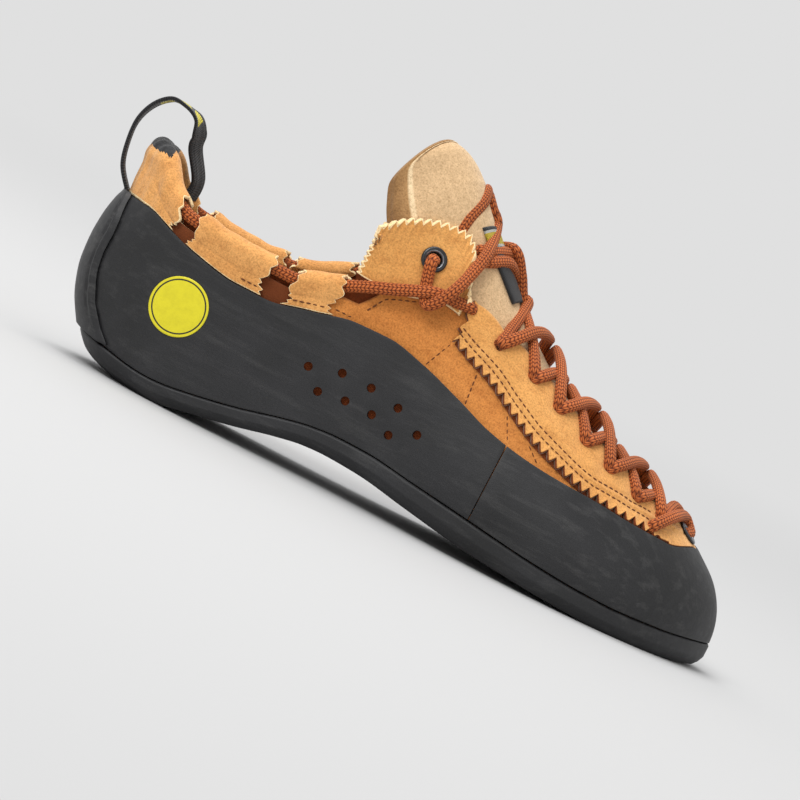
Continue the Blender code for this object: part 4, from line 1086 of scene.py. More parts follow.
quarter_alongs = np.linspace(0.334, 0.470, 24)
quarter_runs = []
for side in (LATERAL, MEDIAL):
    edge = opening(quarter_alongs, side)
    quarter_runs.append(stitch_run(quarter_alongs, edge - 0.0052, side, -0.00008))
    for top, low in ((0.498, 0.480), (0.548, 0.552), (0.610, 0.628), (0.655, 0.680)):
        z_top = float(eyestay_line(np.array(top))) - 0.0004
        z_low = float(rand_high(np.array(low))) + 0.0012
        quarter_runs.append(stitch_run([top, (top + low) / 2.0, low],
                                       [z_top, (z_top + z_low) / 2.0, z_low], side, -0.00008))
sew("quarter_stitches", quarter_runs, thread)


# Cuff strips: bands of soft suede folded over the lace round the ankle and sewn down above the
# rand. They leave gaps where the lace and the brown inside show, and their ends are pinked. The
# strip round the heel is bound in black at the top of its back.
CUFF_INSIDE_DEPTH = 0.0130
FOLD_NECK = 0.0050
HEEL_RIM_DEPTH = 0.0042
HEEL_RIM_END = 0.040
CUFF_GAPS = {LATERAL: (0.080, 0.113, 0.229, 0.270), MEDIAL: (0.085, 0.112, 0.236, 0.252)}


def lace_height(along, side):
    """Height of the lace's middle in the cuff's fold."""
    return collar(along, side) - fold_radius() * fold_stretch(along, side)


def fold_places(turn, v, side, puff):
    """Outer face of the folded strip: v runs from the rand up, over the lace and down inside."""
    along = along_of(turn)
    top = collar(along, side)
    leg = rand_high(along) + GAP
    stretch = fold_stretch(along, side)
    shell = fold_radius()
    lace_z = lace_height(along, side)
    neck = lace_z - FOLD_NECK
    leg_out = FOLD_ROOM + CUFF_CLOTH
    leg_in = -UPPER_WALL - FOLD_ROOM - CUFF_CLOTH
    angle = np.clip((v - 0.38) / 0.34, 0.0, 1.0) * math.pi
    distance = -UPPER_WALL / 2.0 + shell * np.cos(angle)
    z = lace_z + shell * stretch * np.sin(angle)
    up_leg = np.clip(v / 0.38, 0.0, 1.0)
    down_leg = np.clip((v - 0.72) / 0.28, 0.0, 1.0)
    outer_z = np.where(up_leg < 0.75, leg + (neck - leg) * up_leg / 0.75,
                       neck + (lace_z - neck) * (up_leg - 0.75) / 0.25)
    bulge = np.clip((up_leg - 0.60) / 0.40, 0.0, 1.0)
    bulge = bulge * bulge * (3.0 - 2.0 * bulge)
    outer_distance = leg_out + (-UPPER_WALL / 2.0 + shell - leg_out) * bulge
    inside_low = top - CUFF_INSIDE_DEPTH
    inner_z = lace_z + (inside_low - lace_z) * down_leg
    inner_distance = (-UPPER_WALL / 2.0 - shell
                      + (leg_in + UPPER_WALL / 2.0 + shell) * np.clip(down_leg * 3.0, 0.0, 1.0))
    z = np.where(v < 0.38, outer_z, np.where(v > 0.72, inner_z, z))
    distance = np.where(v < 0.38, outer_distance, np.where(v > 0.72, inner_distance, distance))
    run = turn * 160.0
    wrinkle = (0.00034 * np.sin(run * 0.62 + 3.0 * v) * np.sin(run * 0.23 + 2.0)
               + 0.00012 * np.sin(run * 1.3 - 4.0 * v + side))
    outward = np.where(v < 0.72, 1.0, -1.0)
    distance = distance + (wrinkle + puff * np.sin(math.pi * np.clip(v / 0.6, 0, 1))) * outward
    points = off_skin(turn, rise(along, np.minimum(z, lace_z)), side, distance)
    points[..., 2] = z + wrinkle * np.sin(angle)
    return points


def cuff_strip(name, node, first, last, side):
    """One folded strip between two shares of the length, its ends cut in teeth."""
    start, end = float(turn_of(first)), float(turn_of(last))

    def places(u, v):
        teeth = 0.0052 * (tooth(v * 0.030, 0.0032) - 0.5) + 0.0030 * np.sin(v * 17.0 + first * 90.0)
        turn = (start + teeth * 0.9) * (1.0 - u) + (end - teeth) * u
        return fold_places(np.maximum(turn, 0.0), v, np.full(u.shape, side), 0.00025)

    columns = int(140 * (last - first) / 0.10)
    strip = laid_grid(name, columns, 64, places)
    finish_strip(strip, node)


# A lighter copy of the suede with deeper grain: its lighter tones are partly painted highlight of the nap
# on the cuffs' tops.
cuff_suede = suede_material("cuff_suede", to_linear(228, 170, 104), to_linear(204, 140, 76),
                            to_linear(150, 88, 40), 0.00034)
webbing = new_material("black_webbing", 0.78, sheen=0.15, specular=0.25)
weave = noise(webbing, 1400.0, 2.0, stretch=(0.35, 1.0, 1.0))
colour_from(webbing, ramp(webbing, weave, ((0.3, to_linear(16, 16, 17)), (0.7, to_linear(44, 44, 46)))))
bump(webbing, (weave,), (0.00025,))


def finish_strip(strip, node):
    for look in (cuff_suede, cuff_suede, cut_edge_and_highlight, webbing, cut_edge_and_highlight):
        strip.data.materials.append(look)
    pale_border(strip, 2)
    make_solid(strip, CUFF_CLOTH, rim=2, inside=1)
    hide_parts(node)
    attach(strip, "root")


def heel_strip_places(u, v):
    limit = turn_of(CUFF_GAPS[LATERAL][0])
    teeth = 0.0070 * (tooth(v * 0.030, 0.0032) - 0.5) + 0.0040 * np.sin(v * 15.0)
    signed = (2.0 * u - 1.0) * (limit - teeth)
    side = np.where(signed < 0.0, LATERAL, MEDIAL)
    return fold_places(np.abs(signed), v, side, 0.0002)


heel_strip = laid_grid("suede_cuff_heel", 240, 64, heel_strip_places)
for face in heel_strip.data.polygons:
    behind = max((face.center.x + HEEL_REST_ALONG) / LAST_LENGTH, 0.0)
    facing = LATERAL if face.center.y < 0.0 else MEDIAL
    scallop = 0.0005 * abs(math.sin(face.center.y * 900.0))
    rim_deep = HEEL_RIM_DEPTH * (1.0 - (behind / HEEL_RIM_END) ** 2)
    if behind < HEEL_RIM_END and face.center.z > collar(behind, facing) - rim_deep + scallop:
        face.material_index = 3
finish_strip(heel_strip, "cuff_heel")
for side, label in ((LATERAL, "lateral"), (MEDIAL, "medial")):
    _, rear, mid, front = CUFF_GAPS[side]
    cuff_strip(f"suede_cuff_{label}_rear", f"cuff_{label}_rear", rear, mid, side)
    cuff_strip(f"suede_cuff_{label}_front", f"cuff_{label}_front", front, CUFF_END, side)


# Inner band: the brown cloth inside the ankle, from one side of the throat round the heel to the
# other. It is sewn in behind the lace and shows only in the gaps of the cuff.
BAND_END = 0.484
BAND_HEIGHT = 0.0120
BAND_WALL = 0.0005
LACE_BAR = {"along": (0.330, 0.346, 0.3945, 0.445, 0.482, 0.509),
            "height": (0.0690, 0.0706, 0.0742, 0.0778, 0.0788, 0.0796)}


def bar_height(along, side):
    """Height of the lace's middle round the ankle, in the folds and in front of them."""
    in_fold = lace_height(along, side)
    start = lace_height(CUFF_END, side) - LACE_BAR["height"][0]
    free = read(LACE_BAR, "height", along) + start * np.clip((0.45 - along) / 0.12, 0.0, 1.0)
    return np.where(along < CUFF_END, in_fold, free)


def band_places(u, v):
    """u runs round the heel from the outer to the inner side, v from the band's lower edge up."""
    signed = (2.0 * u - 1.0) * turn_of(BAND_END)
    side = np.where(signed < 0.0, LATERAL, MEDIAL)
    turn = np.abs(signed)
    along = along_of(turn)
    teeth = 0.0006 * tooth(turn * 0.4, 0.0025)
    z = bar_height(along, side) + 0.0012 - teeth - BAND_HEIGHT * (1.0 - v)
    inwards = np.where(along < CUFF_END, 0.0030, 0.0027)
    return off_skin(turn, rise(along, z), side, -inwards + 0.0004 * np.sin(turn * 90.0) * v)


inner_band = laid_grid("brown_inner_band", 300, 10, band_places)
inner_band.data.materials.append(lining)
make_solid(inner_band, BAND_WALL)
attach(inner_band, "root")

cuff_runs = []
for side in (LATERAL, MEDIAL):
    _, rear, mid, front = CUFF_GAPS[side]
    for first, last in ((mid - 0.030, mid - 0.006), (front + 0.006, CUFF_END - 0.004)):
        alongs = np.linspace(first, last, 12)
        cuff_runs.append(stitch_run(alongs, rand_high(alongs) + GAP + 0.0022, side,
                                    FOLD_ROOM + CUFF_CLOTH + 0.0001, unfolded_wall))
sew("cuff_stitches", cuff_runs, thread)


# Ankle tabs: two flaps of thick suede sewn in beside the tongue, pinked all round, each with one
# black eyelet for the lace.
TAB_WALL = 0.0018
ANKLE_TAB = {
    "along": (0.338, 0.352, 0.367, 0.385, 0.410, 0.430, 0.450, 0.462, 0.478, 0.490),
    "low":   (0.765, 0.760, 0.758, 0.760, 0.768, 0.782, 0.802, 0.806, 0.800, 0.790),
    "high":  (0.950, 0.990, 1.025, 1.048, 1.072, 1.078, 1.070, 1.035, 0.930, 0.835),
}
ANKLE_EYELET = (float(turn_of(0.424)), float(rise(0.424, INSTEP_HEIGHT * 0.932)))
TAB_TOOTH = 0.0021
TAB_TOOTH_PITCH = 0.0030
TAB_EDGE = 0.0265


def tab_places(u, v, side, distance):
    """A tab's outer face, this far off the last."""
    first, last = ANKLE_TAB["along"][0], ANKLE_TAB["along"][-1]
    edge_tooth = (TAB_TOOTH * 0.6 * tooth(v * TAB_EDGE, TAB_TOOTH_PITCH)
                  * np.clip((0.82 - v) / 0.10, 0.0, 1.0))
    start = first + edge_tooth / LAST_LENGTH
    end = last - edge_tooth * 0.6 / LAST_LENGTH
    along = start + (end - start) * u
    low = INSTEP_HEIGHT * read(ANKLE_TAB, "low", along) + 0.0002
    high = INSTEP_HEIGHT * read(ANKLE_TAB, "high", along)
    slope = np.gradient(INSTEP_HEIGHT * np.array(ANKLE_TAB["high"]),
                        LAST_LENGTH * np.array(ANKLE_TAB["along"]))
    steep = np.sqrt(1.0 + np.interp(along, ANKLE_TAB["along"], slope) ** 2)
    fine = np.linspace(first, last, 200)
    fine_steep = np.sqrt(1.0 + np.interp(fine, ANKLE_TAB["along"], slope) ** 2)
    lengths = np.concatenate([[0.0], np.cumsum((fine_steep[1:] + fine_steep[:-1]) / 2.0
                                               * np.diff(fine) * LAST_LENGTH)])
    notch = TAB_TOOTH * tooth(np.interp(along, fine, lengths), TAB_TOOTH_PITCH)
    inner = np.clip((u - 0.015) / 0.03, 0.0, 1.0) * np.clip((0.985 - u) / 0.03, 0.0, 1.0)
    high = high - notch * np.minimum(steep, 1.35) * inner
    z = low + (high - low) * v
    curl = 0.0012 * np.clip((v - 0.55) / 0.45, 0.0, 1.0) ** 2
    curl += 0.0007 * np.sin(u * 7.0 + 1.0) * v
    curl += 0.0008 * np.clip(1.0 - u / 0.2, 0.0, 1.0) ** 2
    return off_skin(turn_of(along), rise(along, z), side, distance + curl)


for side, label in ((LATERAL, "lateral"), (MEDIAL, "medial")):
    outer = GAP + TAB_WALL
    tab = laid_grid(f"suede_ankle_tab_{label}", 128, 88,
                    lambda u, v: tab_places(u, v, side, outer))
    for look in (suede, suede, cut_edge_and_highlight):
        tab.data.materials.append(look)
    pale_border(tab, 2, 2)
    eyelet_middle = Vector(off_skin(*ANKLE_EYELET, side, outer))
    nearest = min(tab.data.vertices, key=lambda vert: (vert.co - eyelet_middle).length)
    work = bmesh.new()
    work.from_mesh(tab.data)
    centre = nearest.co.copy()
    inside = [f for f in work.faces if (f.calc_center_median() - centre).length < EYELET_CUT_RADIUS]
    bmesh.ops.delete(work, geom=inside, context="FACES")
    for vert in work.verts:
        if vert.is_boundary and (vert.co - centre).length < 0.0050:
            vert.co = centre + (vert.co - centre).normalized() * EYELET_CUT_RADIUS
    work.to_mesh(tab.data)
    work.free()
    make_solid(tab, TAB_WALL, rim=2, inside=1)
    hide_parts(f"ankle_tab_{label}")
    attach(tab, "root")


# Tongue: padded with thin foam between two layers of pale split leather, rounded at its top, with
# a pale piping and a darker binding round its edge. It stands up over the opening by itself.
TONGUE_WALL = 0.0034
TONGUE_ROOM = 0.0009
TONGUE_TOP_RIB = 10.7
DOME_START = 9.6
DOME_POWER = 4.5
PIPING_AT = 0.83
TOP_CROWDING = 1.35
TONGUE_ARCH = {
    "rib":    (2.5, 4.2, 5.5, 8.3, 9.8, 10.7),
    "height": (0.0, 0.0026, 0.0042, 0.0042, 0.0014, 0.0),
}
TONGUE = {
    "rib":         (0, 1, 2, 3, 4, 5, 6, 7, 8, 9, 10, 11),
    "edge_along":  (.838, .79, .72, .64, .56, .49, .43, .388, .358, .332, .322, .322),
    "edge_height": (.440, .455, .505, .590, .680, .740, .780, .830, .930, 1.050, 1.130, 1.200),
    "ridge_along": (.858, .805, .735, .665, .600, .545, .500, .465, .438, .415, .395, .378),
}


def on_tongue(rib, across, distance):
    """Points on the tongue: its rib, the share of the way to its edge, the distance off the last."""
    edge_along = read(TONGUE, "edge_along", rib, "rib")
    edge_up = rise(edge_along, INSTEP_HEIGHT * read(TONGUE, "edge_height", rib, "rib"))
    ridge_turn = turn_of(read(TONGUE, "ridge_along", rib, "rib"))
    out = np.abs(across)
    side = np.where(across < 0.0, LATERAL, MEDIAL)
    turn = ridge_turn + (turn_of(edge_along) - ridge_turn) * out ** 1.5
    return off_skin(turn, 1.0 + (edge_up - 1.0) * out, side, distance)


def tongue_shares(u, v):
    """Rib, share across and share from the middle to the rounded edge of the tongue's pattern."""
    rib = TONGUE_TOP_RIB * u
    dome = np.clip((rib - DOME_START) / (TONGUE_TOP_RIB - DOME_START), 0.0, 1.0)
    widest = np.maximum(1.0 - dome ** DOME_POWER, 0.0) ** (1.0 / DOME_POWER)
    front = v < 0.5
    across = np.where(front, np.interp(v, (0.0, 0.48), (-1.0, 1.0)),
                      np.interp(v, (0.52, 1.0), (1.0, -1.0))) * widest
    return rib, across, (np.abs(across) ** DOME_POWER + dome ** DOME_POWER) ** (1.0 / DOME_POWER)


def tongue_free(rib):
    """0 where the tongue is laced down, 1 where it stands free."""
    return np.clip((rib - 6.0) / 2.0, 0.0, 1.0)


def tongue_lift(rib, across):
    """How far the tongue's free part and its swollen middle stand up off their plain line."""
    arch = np.interp(rib, TONGUE_ARCH["rib"], TONGUE_ARCH["height"])
    return 0.0012 * tongue_free(rib) + arch * np.maximum(1.0 - np.abs(across) ** 2.4, 0.0)


def tongue_places(u, v):
    rib, across, out = tongue_shares(1.0 - (1.0 - u) ** TOP_CROWDING, v)
    front = (v < 0.5) | (v > 0.985)
    middle = -(UPPER_WALL + TONGUE_ROOM + TONGUE_WALL / 2.0)
    edge = np.clip((out - 0.90) / 0.10, 0.0, 1.0)
    half = TONGUE_WALL / 2.0 * np.sqrt(np.maximum(1.0 - edge ** 2, 0.0))
    piping = 0.00070 * np.exp(-((out - PIPING_AT) / 0.017) ** 2)
    piping -= 0.00060 * np.exp(-((out - PIPING_AT + 0.040) / 0.022) ** 2)
    piping -= 0.00030 * np.exp(-((out - PIPING_AT - 0.040) / 0.020) ** 2)
    free = tongue_free(rib)
    puff = 0.0012 * free * np.maximum(1.0 - (out / PIPING_AT) ** 2, 0.0)
    puff += 0.0005 * free * np.sin(rib * 2.2 + across * 3.0)
    proud = np.where(front, middle + half + piping * (0.4 + 0.6 * free) + puff, middle - half)
    return on_tongue(rib, across, proud + tongue_lift(rib, across))


SPLIT_PALE = to_linear(206, 174, 134)
PIPING_PALE = to_linear(234, 208, 168)
BINDING_BROWN = to_linear(172, 134, 90)
BINDING_DARK = to_linear(140, 104, 66)


def split_material():
    """Pale split leather with a cream piping and a brown binding, told apart by the edge attribute."""
    look = new_material("tongue_split", 0.95, sheen=0.3, sheen_tint=(1.0, 0.9, 0.75), specular=0.12)
    edge = add_node(look, "ShaderNodeAttribute", attribute_name="edge_share")
    zones = ramp(look, edge, ((0.0, SPLIT_PALE), (0.815, SPLIT_PALE), (0.825, PIPING_PALE),
                              (0.845, PIPING_PALE), (0.855, BINDING_BROWN), (1.0, BINDING_DARK)), output=2)
    grain, nap = noise(look, 1500.0, 3.0, 0.7), noise(look, 520.0, 3.0, 0.6)
    specks = ramp(look, grain, ((0.30, (0.72, 0.67, 0.60)), (0.50, (1, 1, 1)), (0.72, (1.22, 1.2, 1.18))))
    cloud = ramp(look, nap, ((0.35, (0.90, 0.88, 0.85)), (0.65, (1.06, 1.05, 1.04))))
    colour_from(look, mix(look, "MULTIPLY", 1.0, mix(look, "MULTIPLY", 1.0, zones, specks), cloud))
    bump(look, (grain, nap), (0.00024, 0.00020), 0.9)
    return look


def close_ends():
    """Fills the open ends of the active piece."""
    bpy.ops.object.mode_set(mode="EDIT")
    bpy.ops.mesh.select_all(action="DESELECT")
    bpy.ops.mesh.select_mode(type="EDGE")
    bpy.ops.mesh.select_non_manifold(extend=False, use_wire=False, use_multi_face=False,
                                     use_non_contiguous=False, use_verts=False)
    bpy.ops.mesh.fill_holes(sides=0)
    bpy.ops.object.mode_set(mode="OBJECT")


tongue = laid_grid("padded_tongue", 170, 130, tongue_places, closed=True)
tongue.data.materials.append(split_material())
close_ends()

# Each point takes its share of the way to the tongue's edge from the nearest point of the pattern.
pattern_u, pattern_v = np.meshgrid(np.linspace(0.0, 1.0, 191), np.linspace(0.0, 1.0, 151))
sample = tongue_places(pattern_u.ravel(), pattern_v.ravel())
_, _, sample_out = tongue_shares(1.0 - (1.0 - pattern_u.ravel()) ** TOP_CROWDING, pattern_v.ravel())
tree = KDTree(len(sample))
for number, point in enumerate(sample):
    tree.insert(Vector(point), number)
tree.balance()
edge_share = tongue.data.attributes.new("edge_share", "FLOAT", "POINT")
for number, vert in enumerate(tongue.data.vertices):
    edge_share.data[number].value = float(sample_out[tree.find(vert.co)[1]])
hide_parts("tongue")
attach(tongue, "root")


# Tongue label: a black woven patch, folded and sewn on the middle of the tongue. It is plain, with
# one broad yellow stripe between thin white ones at its upper end.
LABEL_RIBS = (4.75, 6.70)
LABEL_HALF_WIDTH = 0.34
LABEL_WALL = 0.0008


def label_places(u, v):
    rib = LABEL_RIBS[0] + (LABEL_RIBS[1] - LABEL_RIBS[0]) * v
    across = LABEL_HALF_WIDTH * (2.0 * u - 1.0)
    edge = np.minimum(np.minimum(u, 1.0 - u) / 0.05, np.minimum(v, 1.0 - v) / 0.04)
    rounded = 0.0005 * np.sqrt(np.clip(edge, 0.0, 1.0))
    return on_tongue(rib, across, -(UPPER_WALL + TONGUE_ROOM) + 0.0009 + rounded
                     + tongue_lift(rib, across))


label_look = new_material("woven_label", 0.75, sheen=0.2, specular=0.3)
label_uv = add_node(label_look, "ShaderNodeUVMap", uv_map="UVMap")
split = add_node(label_look, "ShaderNodeSeparateXYZ")
link(label_look, label_uv, split.inputs[0])
BLACK_WEAVE = to_linear(24, 24, 26)
STRIPE_YELLOW = to_linear(236, 206, 30)
STRIPE_WHITE = to_linear(225, 222, 212)
stripes = ramp(label_look, split, ((0.0, BLACK_WEAVE), (0.66, BLACK_WEAVE), (0.68, STRIPE_WHITE),
                                   (0.70, STRIPE_WHITE), (0.72, STRIPE_YELLOW), (0.88, STRIPE_YELLOW),
                                   (0.90, STRIPE_WHITE), (0.92, STRIPE_WHITE), (0.94, BLACK_WEAVE)),
               output=1)
stripes.color_ramp.interpolation = "CONSTANT"
threads = add_node(label_look, "ShaderNodeTexWave", bands_direction="Y")
threads.inputs["Scale"].default_value = 60.0
link(label_look, label_uv, threads.inputs["Vector"])
colour_from(label_look, mix(label_look, "MULTIPLY", 1.0, stripes,
                            ramp(label_look, threads, ((0.0, (0.6, 0.6, 0.6)), (0.8, (1, 1, 1))))))
bump(label_look, (threads,), (0.00015,))
label = laid_grid("woven_tongue_label", 32, 40, label_places)
label.data.materials.append(label_look)
make_solid(label, LABEL_WALL)
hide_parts("tongue_label")
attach(label, "root")


# Laces: one flat-oval braided cord in rust brown. It runs inside the cuff's folds round the ankle,
# loops over the tongue, and criss-crosses down to the toe, in and out of the punched holes. Its way
# is listed as shares of the length, heights and distances off the last.
LACE_WIDTH = 0.0044
LACE_THICK = 0.0034
BRAID_PITCH = 0.0015
BRAID_COLUMNS = 14
BRAID_RELIEF = 0.00010
RING_SIDES = 28
RING_STEP = 0.00050
# Braid colours: the middle one is the cord's rust; the light one is painted highlight on the yarns' tops
# and the deep one painted shade in the gaps.
LACE_PAINTED_HIGHLIGHT = to_linear(198, 112, 58)
LACE_MID = to_linear(158, 78, 36)
LACE_PAINTED_SHADE = to_linear(62, 24, 12)


def curve_through(stops, count):
    """Points on one smooth curve through the stops, which are rows of an array."""
    stops = np.asarray(stops, float)
    spans = len(stops) - 1
    lengths = np.linalg.norm(np.diff(stops, axis=0), axis=1) ** 0.5
    knots = np.concatenate([[0.0], np.cumsum(lengths)])
    place = np.interp(np.linspace(0.0, knots[-1], count), knots, np.arange(spans + 1))
    k = np.minimum(place.astype(int), spans - 1)
    f = (place - k)[:, None]
    p0, p1 = stops[np.maximum(k - 1, 0)], stops[k]
    p2, p3 = stops[k + 1], stops[np.minimum(k + 2, spans)]
    return p1 + 0.5 * f * ((p2 - p0) + f * ((2 * p0 - 5 * p1 + 4 * p2 - p3)
                                            + f * (3 * (p1 - p2) + p3 - p0)))


def evenly(points, outward, step):
    """The same path and outward directions at even steps of length."""
    lengths = np.concatenate([[0.0], np.cumsum(np.linalg.norm(np.diff(points, axis=0), axis=1))])
    stops = np.linspace(0.0, lengths[-1], max(int(lengths[-1] / step), 4))
    even = np.stack([np.interp(stops, lengths, points[:, i]) for i in range(3)], axis=-1)
    out = np.stack([np.interp(stops, lengths, outward[:, i]) for i in range(3)], axis=-1)
    return even, unit(out), stops


def braided(name, runs, look):
    """Braided tubes along runs of (points, outward directions), joined in one mesh."""
    verts, faces, uvs = [], [], []
    for points, outward in runs:
        path, out, lengths = evenly(points, outward, RING_STEP)
        ahead = unit(np.gradient(path, axis=0))
        across = unit(np.cross(ahead, out))
        up = np.cross(across, ahead)
        angle = np.linspace(0.0, 2.0 * math.pi, RING_SIDES, endpoint=False)
        column = angle / (2.0 * math.pi) * BRAID_COLUMNS
        slope = np.abs((column % 2.0) - 1.0)
        phase = lengths[:, None] / BRAID_PITCH + 0.55 * slope[None, :]
        relief = np.abs(np.sin(math.pi * phase)) * np.abs(np.sin(math.pi * column))[None, :]
        swell = 1.0 + BRAID_RELIEF * (relief - 0.5) / (LACE_THICK / 2.0)
        wide = np.sign(np.cos(angle)) * np.abs(np.cos(angle)) ** 0.85 * LACE_WIDTH / 2.0
        tall = np.sign(np.sin(angle)) * np.abs(np.sin(angle)) ** 0.80 * LACE_THICK / 2.0
        ring = (path[:, None, :] + across[:, None, :] * wide[None, :, None] * swell[..., None]
                + up[:, None, :] * tall[None, :, None] * swell[..., None])
        start, rings = len(verts), len(path)
        verts.extend(map(tuple, ring.reshape(-1, 3)))
        for i in range(rings - 1):
            a, b = start + i * RING_SIDES, start + (i + 1) * RING_SIDES
            s0, s1 = lengths[i] / BRAID_PITCH, lengths[i + 1] / BRAID_PITCH
            for j in range(RING_SIDES):
                k = (j + 1) % RING_SIDES
                faces.append((a + j, a + k, b + k, b + j))
                t0, t1 = j / RING_SIDES * BRAID_COLUMNS, (j + 1) / RING_SIDES * BRAID_COLUMNS
                uvs.extend(((s0, t0), (s0, t1), (s1, t1), (s1, t0)))
        for at, turned in ((start, True), (start + (rings - 1) * RING_SIDES, False)):
            cap = tuple(range(at, at + RING_SIDES))
            faces.append(tuple(reversed(cap)) if turned else cap)
            uvs.extend([(0.5, 0.5)] * RING_SIDES)
    mesh = bpy.data.meshes.new(name)
    mesh.from_pydata(verts, [], faces)
    layer = mesh.uv_layers.new(name="UVMap")
    layer.data.foreach_set("uv", np.array(uvs, np.float32).ravel())
    mesh.shade_smooth()
    mesh.materials.append(look)
    obj = bpy.data.objects.new(name, mesh)
    bpy.context.scene.collection.objects.link(obj)
    deselect_all()
    obj.select_set(True)
    bpy.context.view_layer.objects.active = obj
    face_out(obj, closed=True)
    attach(obj, "root")
    return obj


def braid_material():
    """Rust-brown braid: a herringbone of yarns along the cord, with painted highlight on the yarns and
    painted shade in the gaps between them.
    """
    look = new_material("rust_braid", 0.70, sheen=0.08, sheen_tint=(1.0, 0.75, 0.55), specular=0.2)
    uv = add_node(look, "ShaderNodeUVMap", uv_map="UVMap")
    split = add_node(look, "ShaderNodeSeparateXYZ")
    link(look, uv, split.inputs[0])

    def step(operation, first, second=None, output=0):
        node = add_node(look, "ShaderNodeMath", operation=operation)
        link(look, first, node.inputs[0], output)
        if isinstance(second, bpy.types.Node):
            link(look, second, node.inputs[1])
        elif second is not None:
            node.inputs[1].default_value = second
        return node

    slope = step("MULTIPLY", step("PINGPONG", split, 1.0, output=1), 0.55)
    phase = step("ADD", slope, split)
    yarn = step("ABSOLUTE", step("SINE", step("MULTIPLY", phase, math.pi)))
    column = step("ABSOLUTE", step("SINE", step("MULTIPLY", split, math.pi, output=1)))
    relief = step("MULTIPLY", step("POWER", yarn, 0.7), step("POWER", column, 0.5))
    # Painted light: the braid's relief picks the colour, dark as painted shade in the gaps, light as
    # painted highlight on the yarns.
    yarn_painted_light = ramp(look, relief, ((0.10, LACE_PAINTED_SHADE), (0.50, LACE_MID), (0.92, LACE_PAINTED_HIGHLIGHT)))
    fuzz = ramp(look, noise(look, 2600.0, 2.0), ((0.3, (0.84, 0.82, 0.80)), (0.7, (1.12, 1.1, 1.1))))
    shade = ramp(look, noise(look, 60.0, 2.0), ((0.35, (0.88, 0.86, 0.84)), (0.65, (1.08, 1.06, 1.05))))
    colour_from(look, mix(look, "MULTIPLY", 1.0, mix(look, "MULTIPLY", 1.0, yarn_painted_light, fuzz), shade))
    bump(look, (relief,), (0.00030,), 0.7)
    return look


braid = braid_material()


def run_over(rows, count=200):
    """A lace run through rows of (turn, rise, side, distance off the last)."""
    turn, up, side, distance = (np.array(column, float) for column in zip(*rows))
    points = off_skin(turn, up, side, distance)
    further = off_skin(turn, up, side, distance + 0.001)
    return curve_through(points, count), curve_through(unit(further - points), count)


def at(along, z, side, distance):
    """A row for run_over, from a share of the length and a height in metres."""
    return float(turn_of(along)), min(float(rise(along, z)), 0.995), side, distance


def over(along, distance, side=LATERAL):
    return float(turn_of(along)), 1.0, side, distance


EYESTAY_FACE = GAP + EYESTAY_WALL
RIDGE_SHARE = 0.92
HIDDEN_END = 0.0030


def strand(first, second, first_side, middle):
    """From one punched hole over the tongue to another on the other side, most of it on this side."""
    rows = []
    share = RIDGE_SHARE if first_side == LATERAL else 1.0 - RIDGE_SHARE
    ahead = 0.0016 * (1.0 if second > first else -1.0) / LAST_LENGTH
    _, up_a, _ = lace_hole(first, first_side)
    _, up_b, _ = lace_hole(second, -first_side)
    rows.append((float(turn_of(first)), up_a, first_side, -HIDDEN_END))
    rows.append((float(turn_of(first + ahead * 0.5)), up_a + 0.001, first_side, EYESTAY_FACE + 0.0004))
    for q in (0.10, 0.24, 0.38, 0.50, 0.62, 0.76, 0.90):
        if q <= 0.5:
            up, side, way = up_a + (1.0 - up_a) * q * 2.0, first_side, share * q * 2.0
        else:
            up, side = 1.0 + (up_b - 1.0) * (q * 2.0 - 1.0), -first_side
            way = share + (1.0 - share) * (q * 2.0 - 1.0)
        near_hole = (2.0 * abs(q - 0.5)) ** 2
        proud = (EYESTAY_FACE + LACE_THICK / 2.0) * near_hole + middle * (1.0 - near_hole)
        along = first + ahead + (second - first - 2.0 * ahead) * way
        rows.append((float(turn_of(along)), up, side, proud))
    rows.append((float(turn_of(second - ahead * 0.5)), up_b + 0.001, -first_side, EYESTAY_FACE + 0.0004))
    rows.append((float(turn_of(second)), up_b, -first_side, -HIDDEN_END))
    return run_over(rows)


def mirrored(rows):
    """The same rows on the medial side, in the other order."""
    return [(turn, up, MEDIAL, distance) for turn, up, _, distance in reversed(rows)]


LOW_STRAND, HIGH_STRAND = 0.0006, 0.0038
for number in range(1, len(CROSSINGS) - 1):
    near, far = CROSSINGS[number], CROSSINGS[number + 1]
    swapped = number % 2 == 1
    first = strand(near, far, LATERAL, HIGH_STRAND if swapped else LOW_STRAND)
    second = strand(far, near, LATERAL, LOW_STRAND if swapped else HIGH_STRAND)
    runs = [first, second]
    if number == len(CROSSINGS) - 2:
        hole_turn, hole_up, _ = lace_hole(far, LATERAL)
        runs.append(run_over([
            (hole_turn, hole_up, LATERAL, -HIDDEN_END), (hole_turn, hole_up, LATERAL, EYESTAY_FACE),
            at(far + 0.010, 0.0455, LATERAL, 0.0036), over(0.888, 0.0034), over(0.896, 0.0030, MEDIAL),
            (float(turn_of(0.900)), 0.93, MEDIAL, 0.0026), (float(turn_of(0.900)), 0.91, MEDIAL, -0.0020)]))
        runs.append(run_over([
            at(0.853, 0.0385, LATERAL, -0.0020), at(0.857, 0.0396, LATERAL, 0.0030),
            at(0.874, 0.0428, LATERAL, 0.0042), (float(turn_of(0.890)), 0.985, LATERAL, 0.0042),
            over(0.902, 0.0036), (float(turn_of(0.909)), 0.975, LATERAL, 0.0026),
            (TOE_EYELET[0], TOE_EYELET[1] + 0.015, LATERAL, 0.0008), (*TOE_EYELET, -HIDDEN_END)]))
    crossing = braided(f"braided_crossing_{number + 1}", runs, braid)
    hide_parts(f"lace_crossing_{number + 1}")

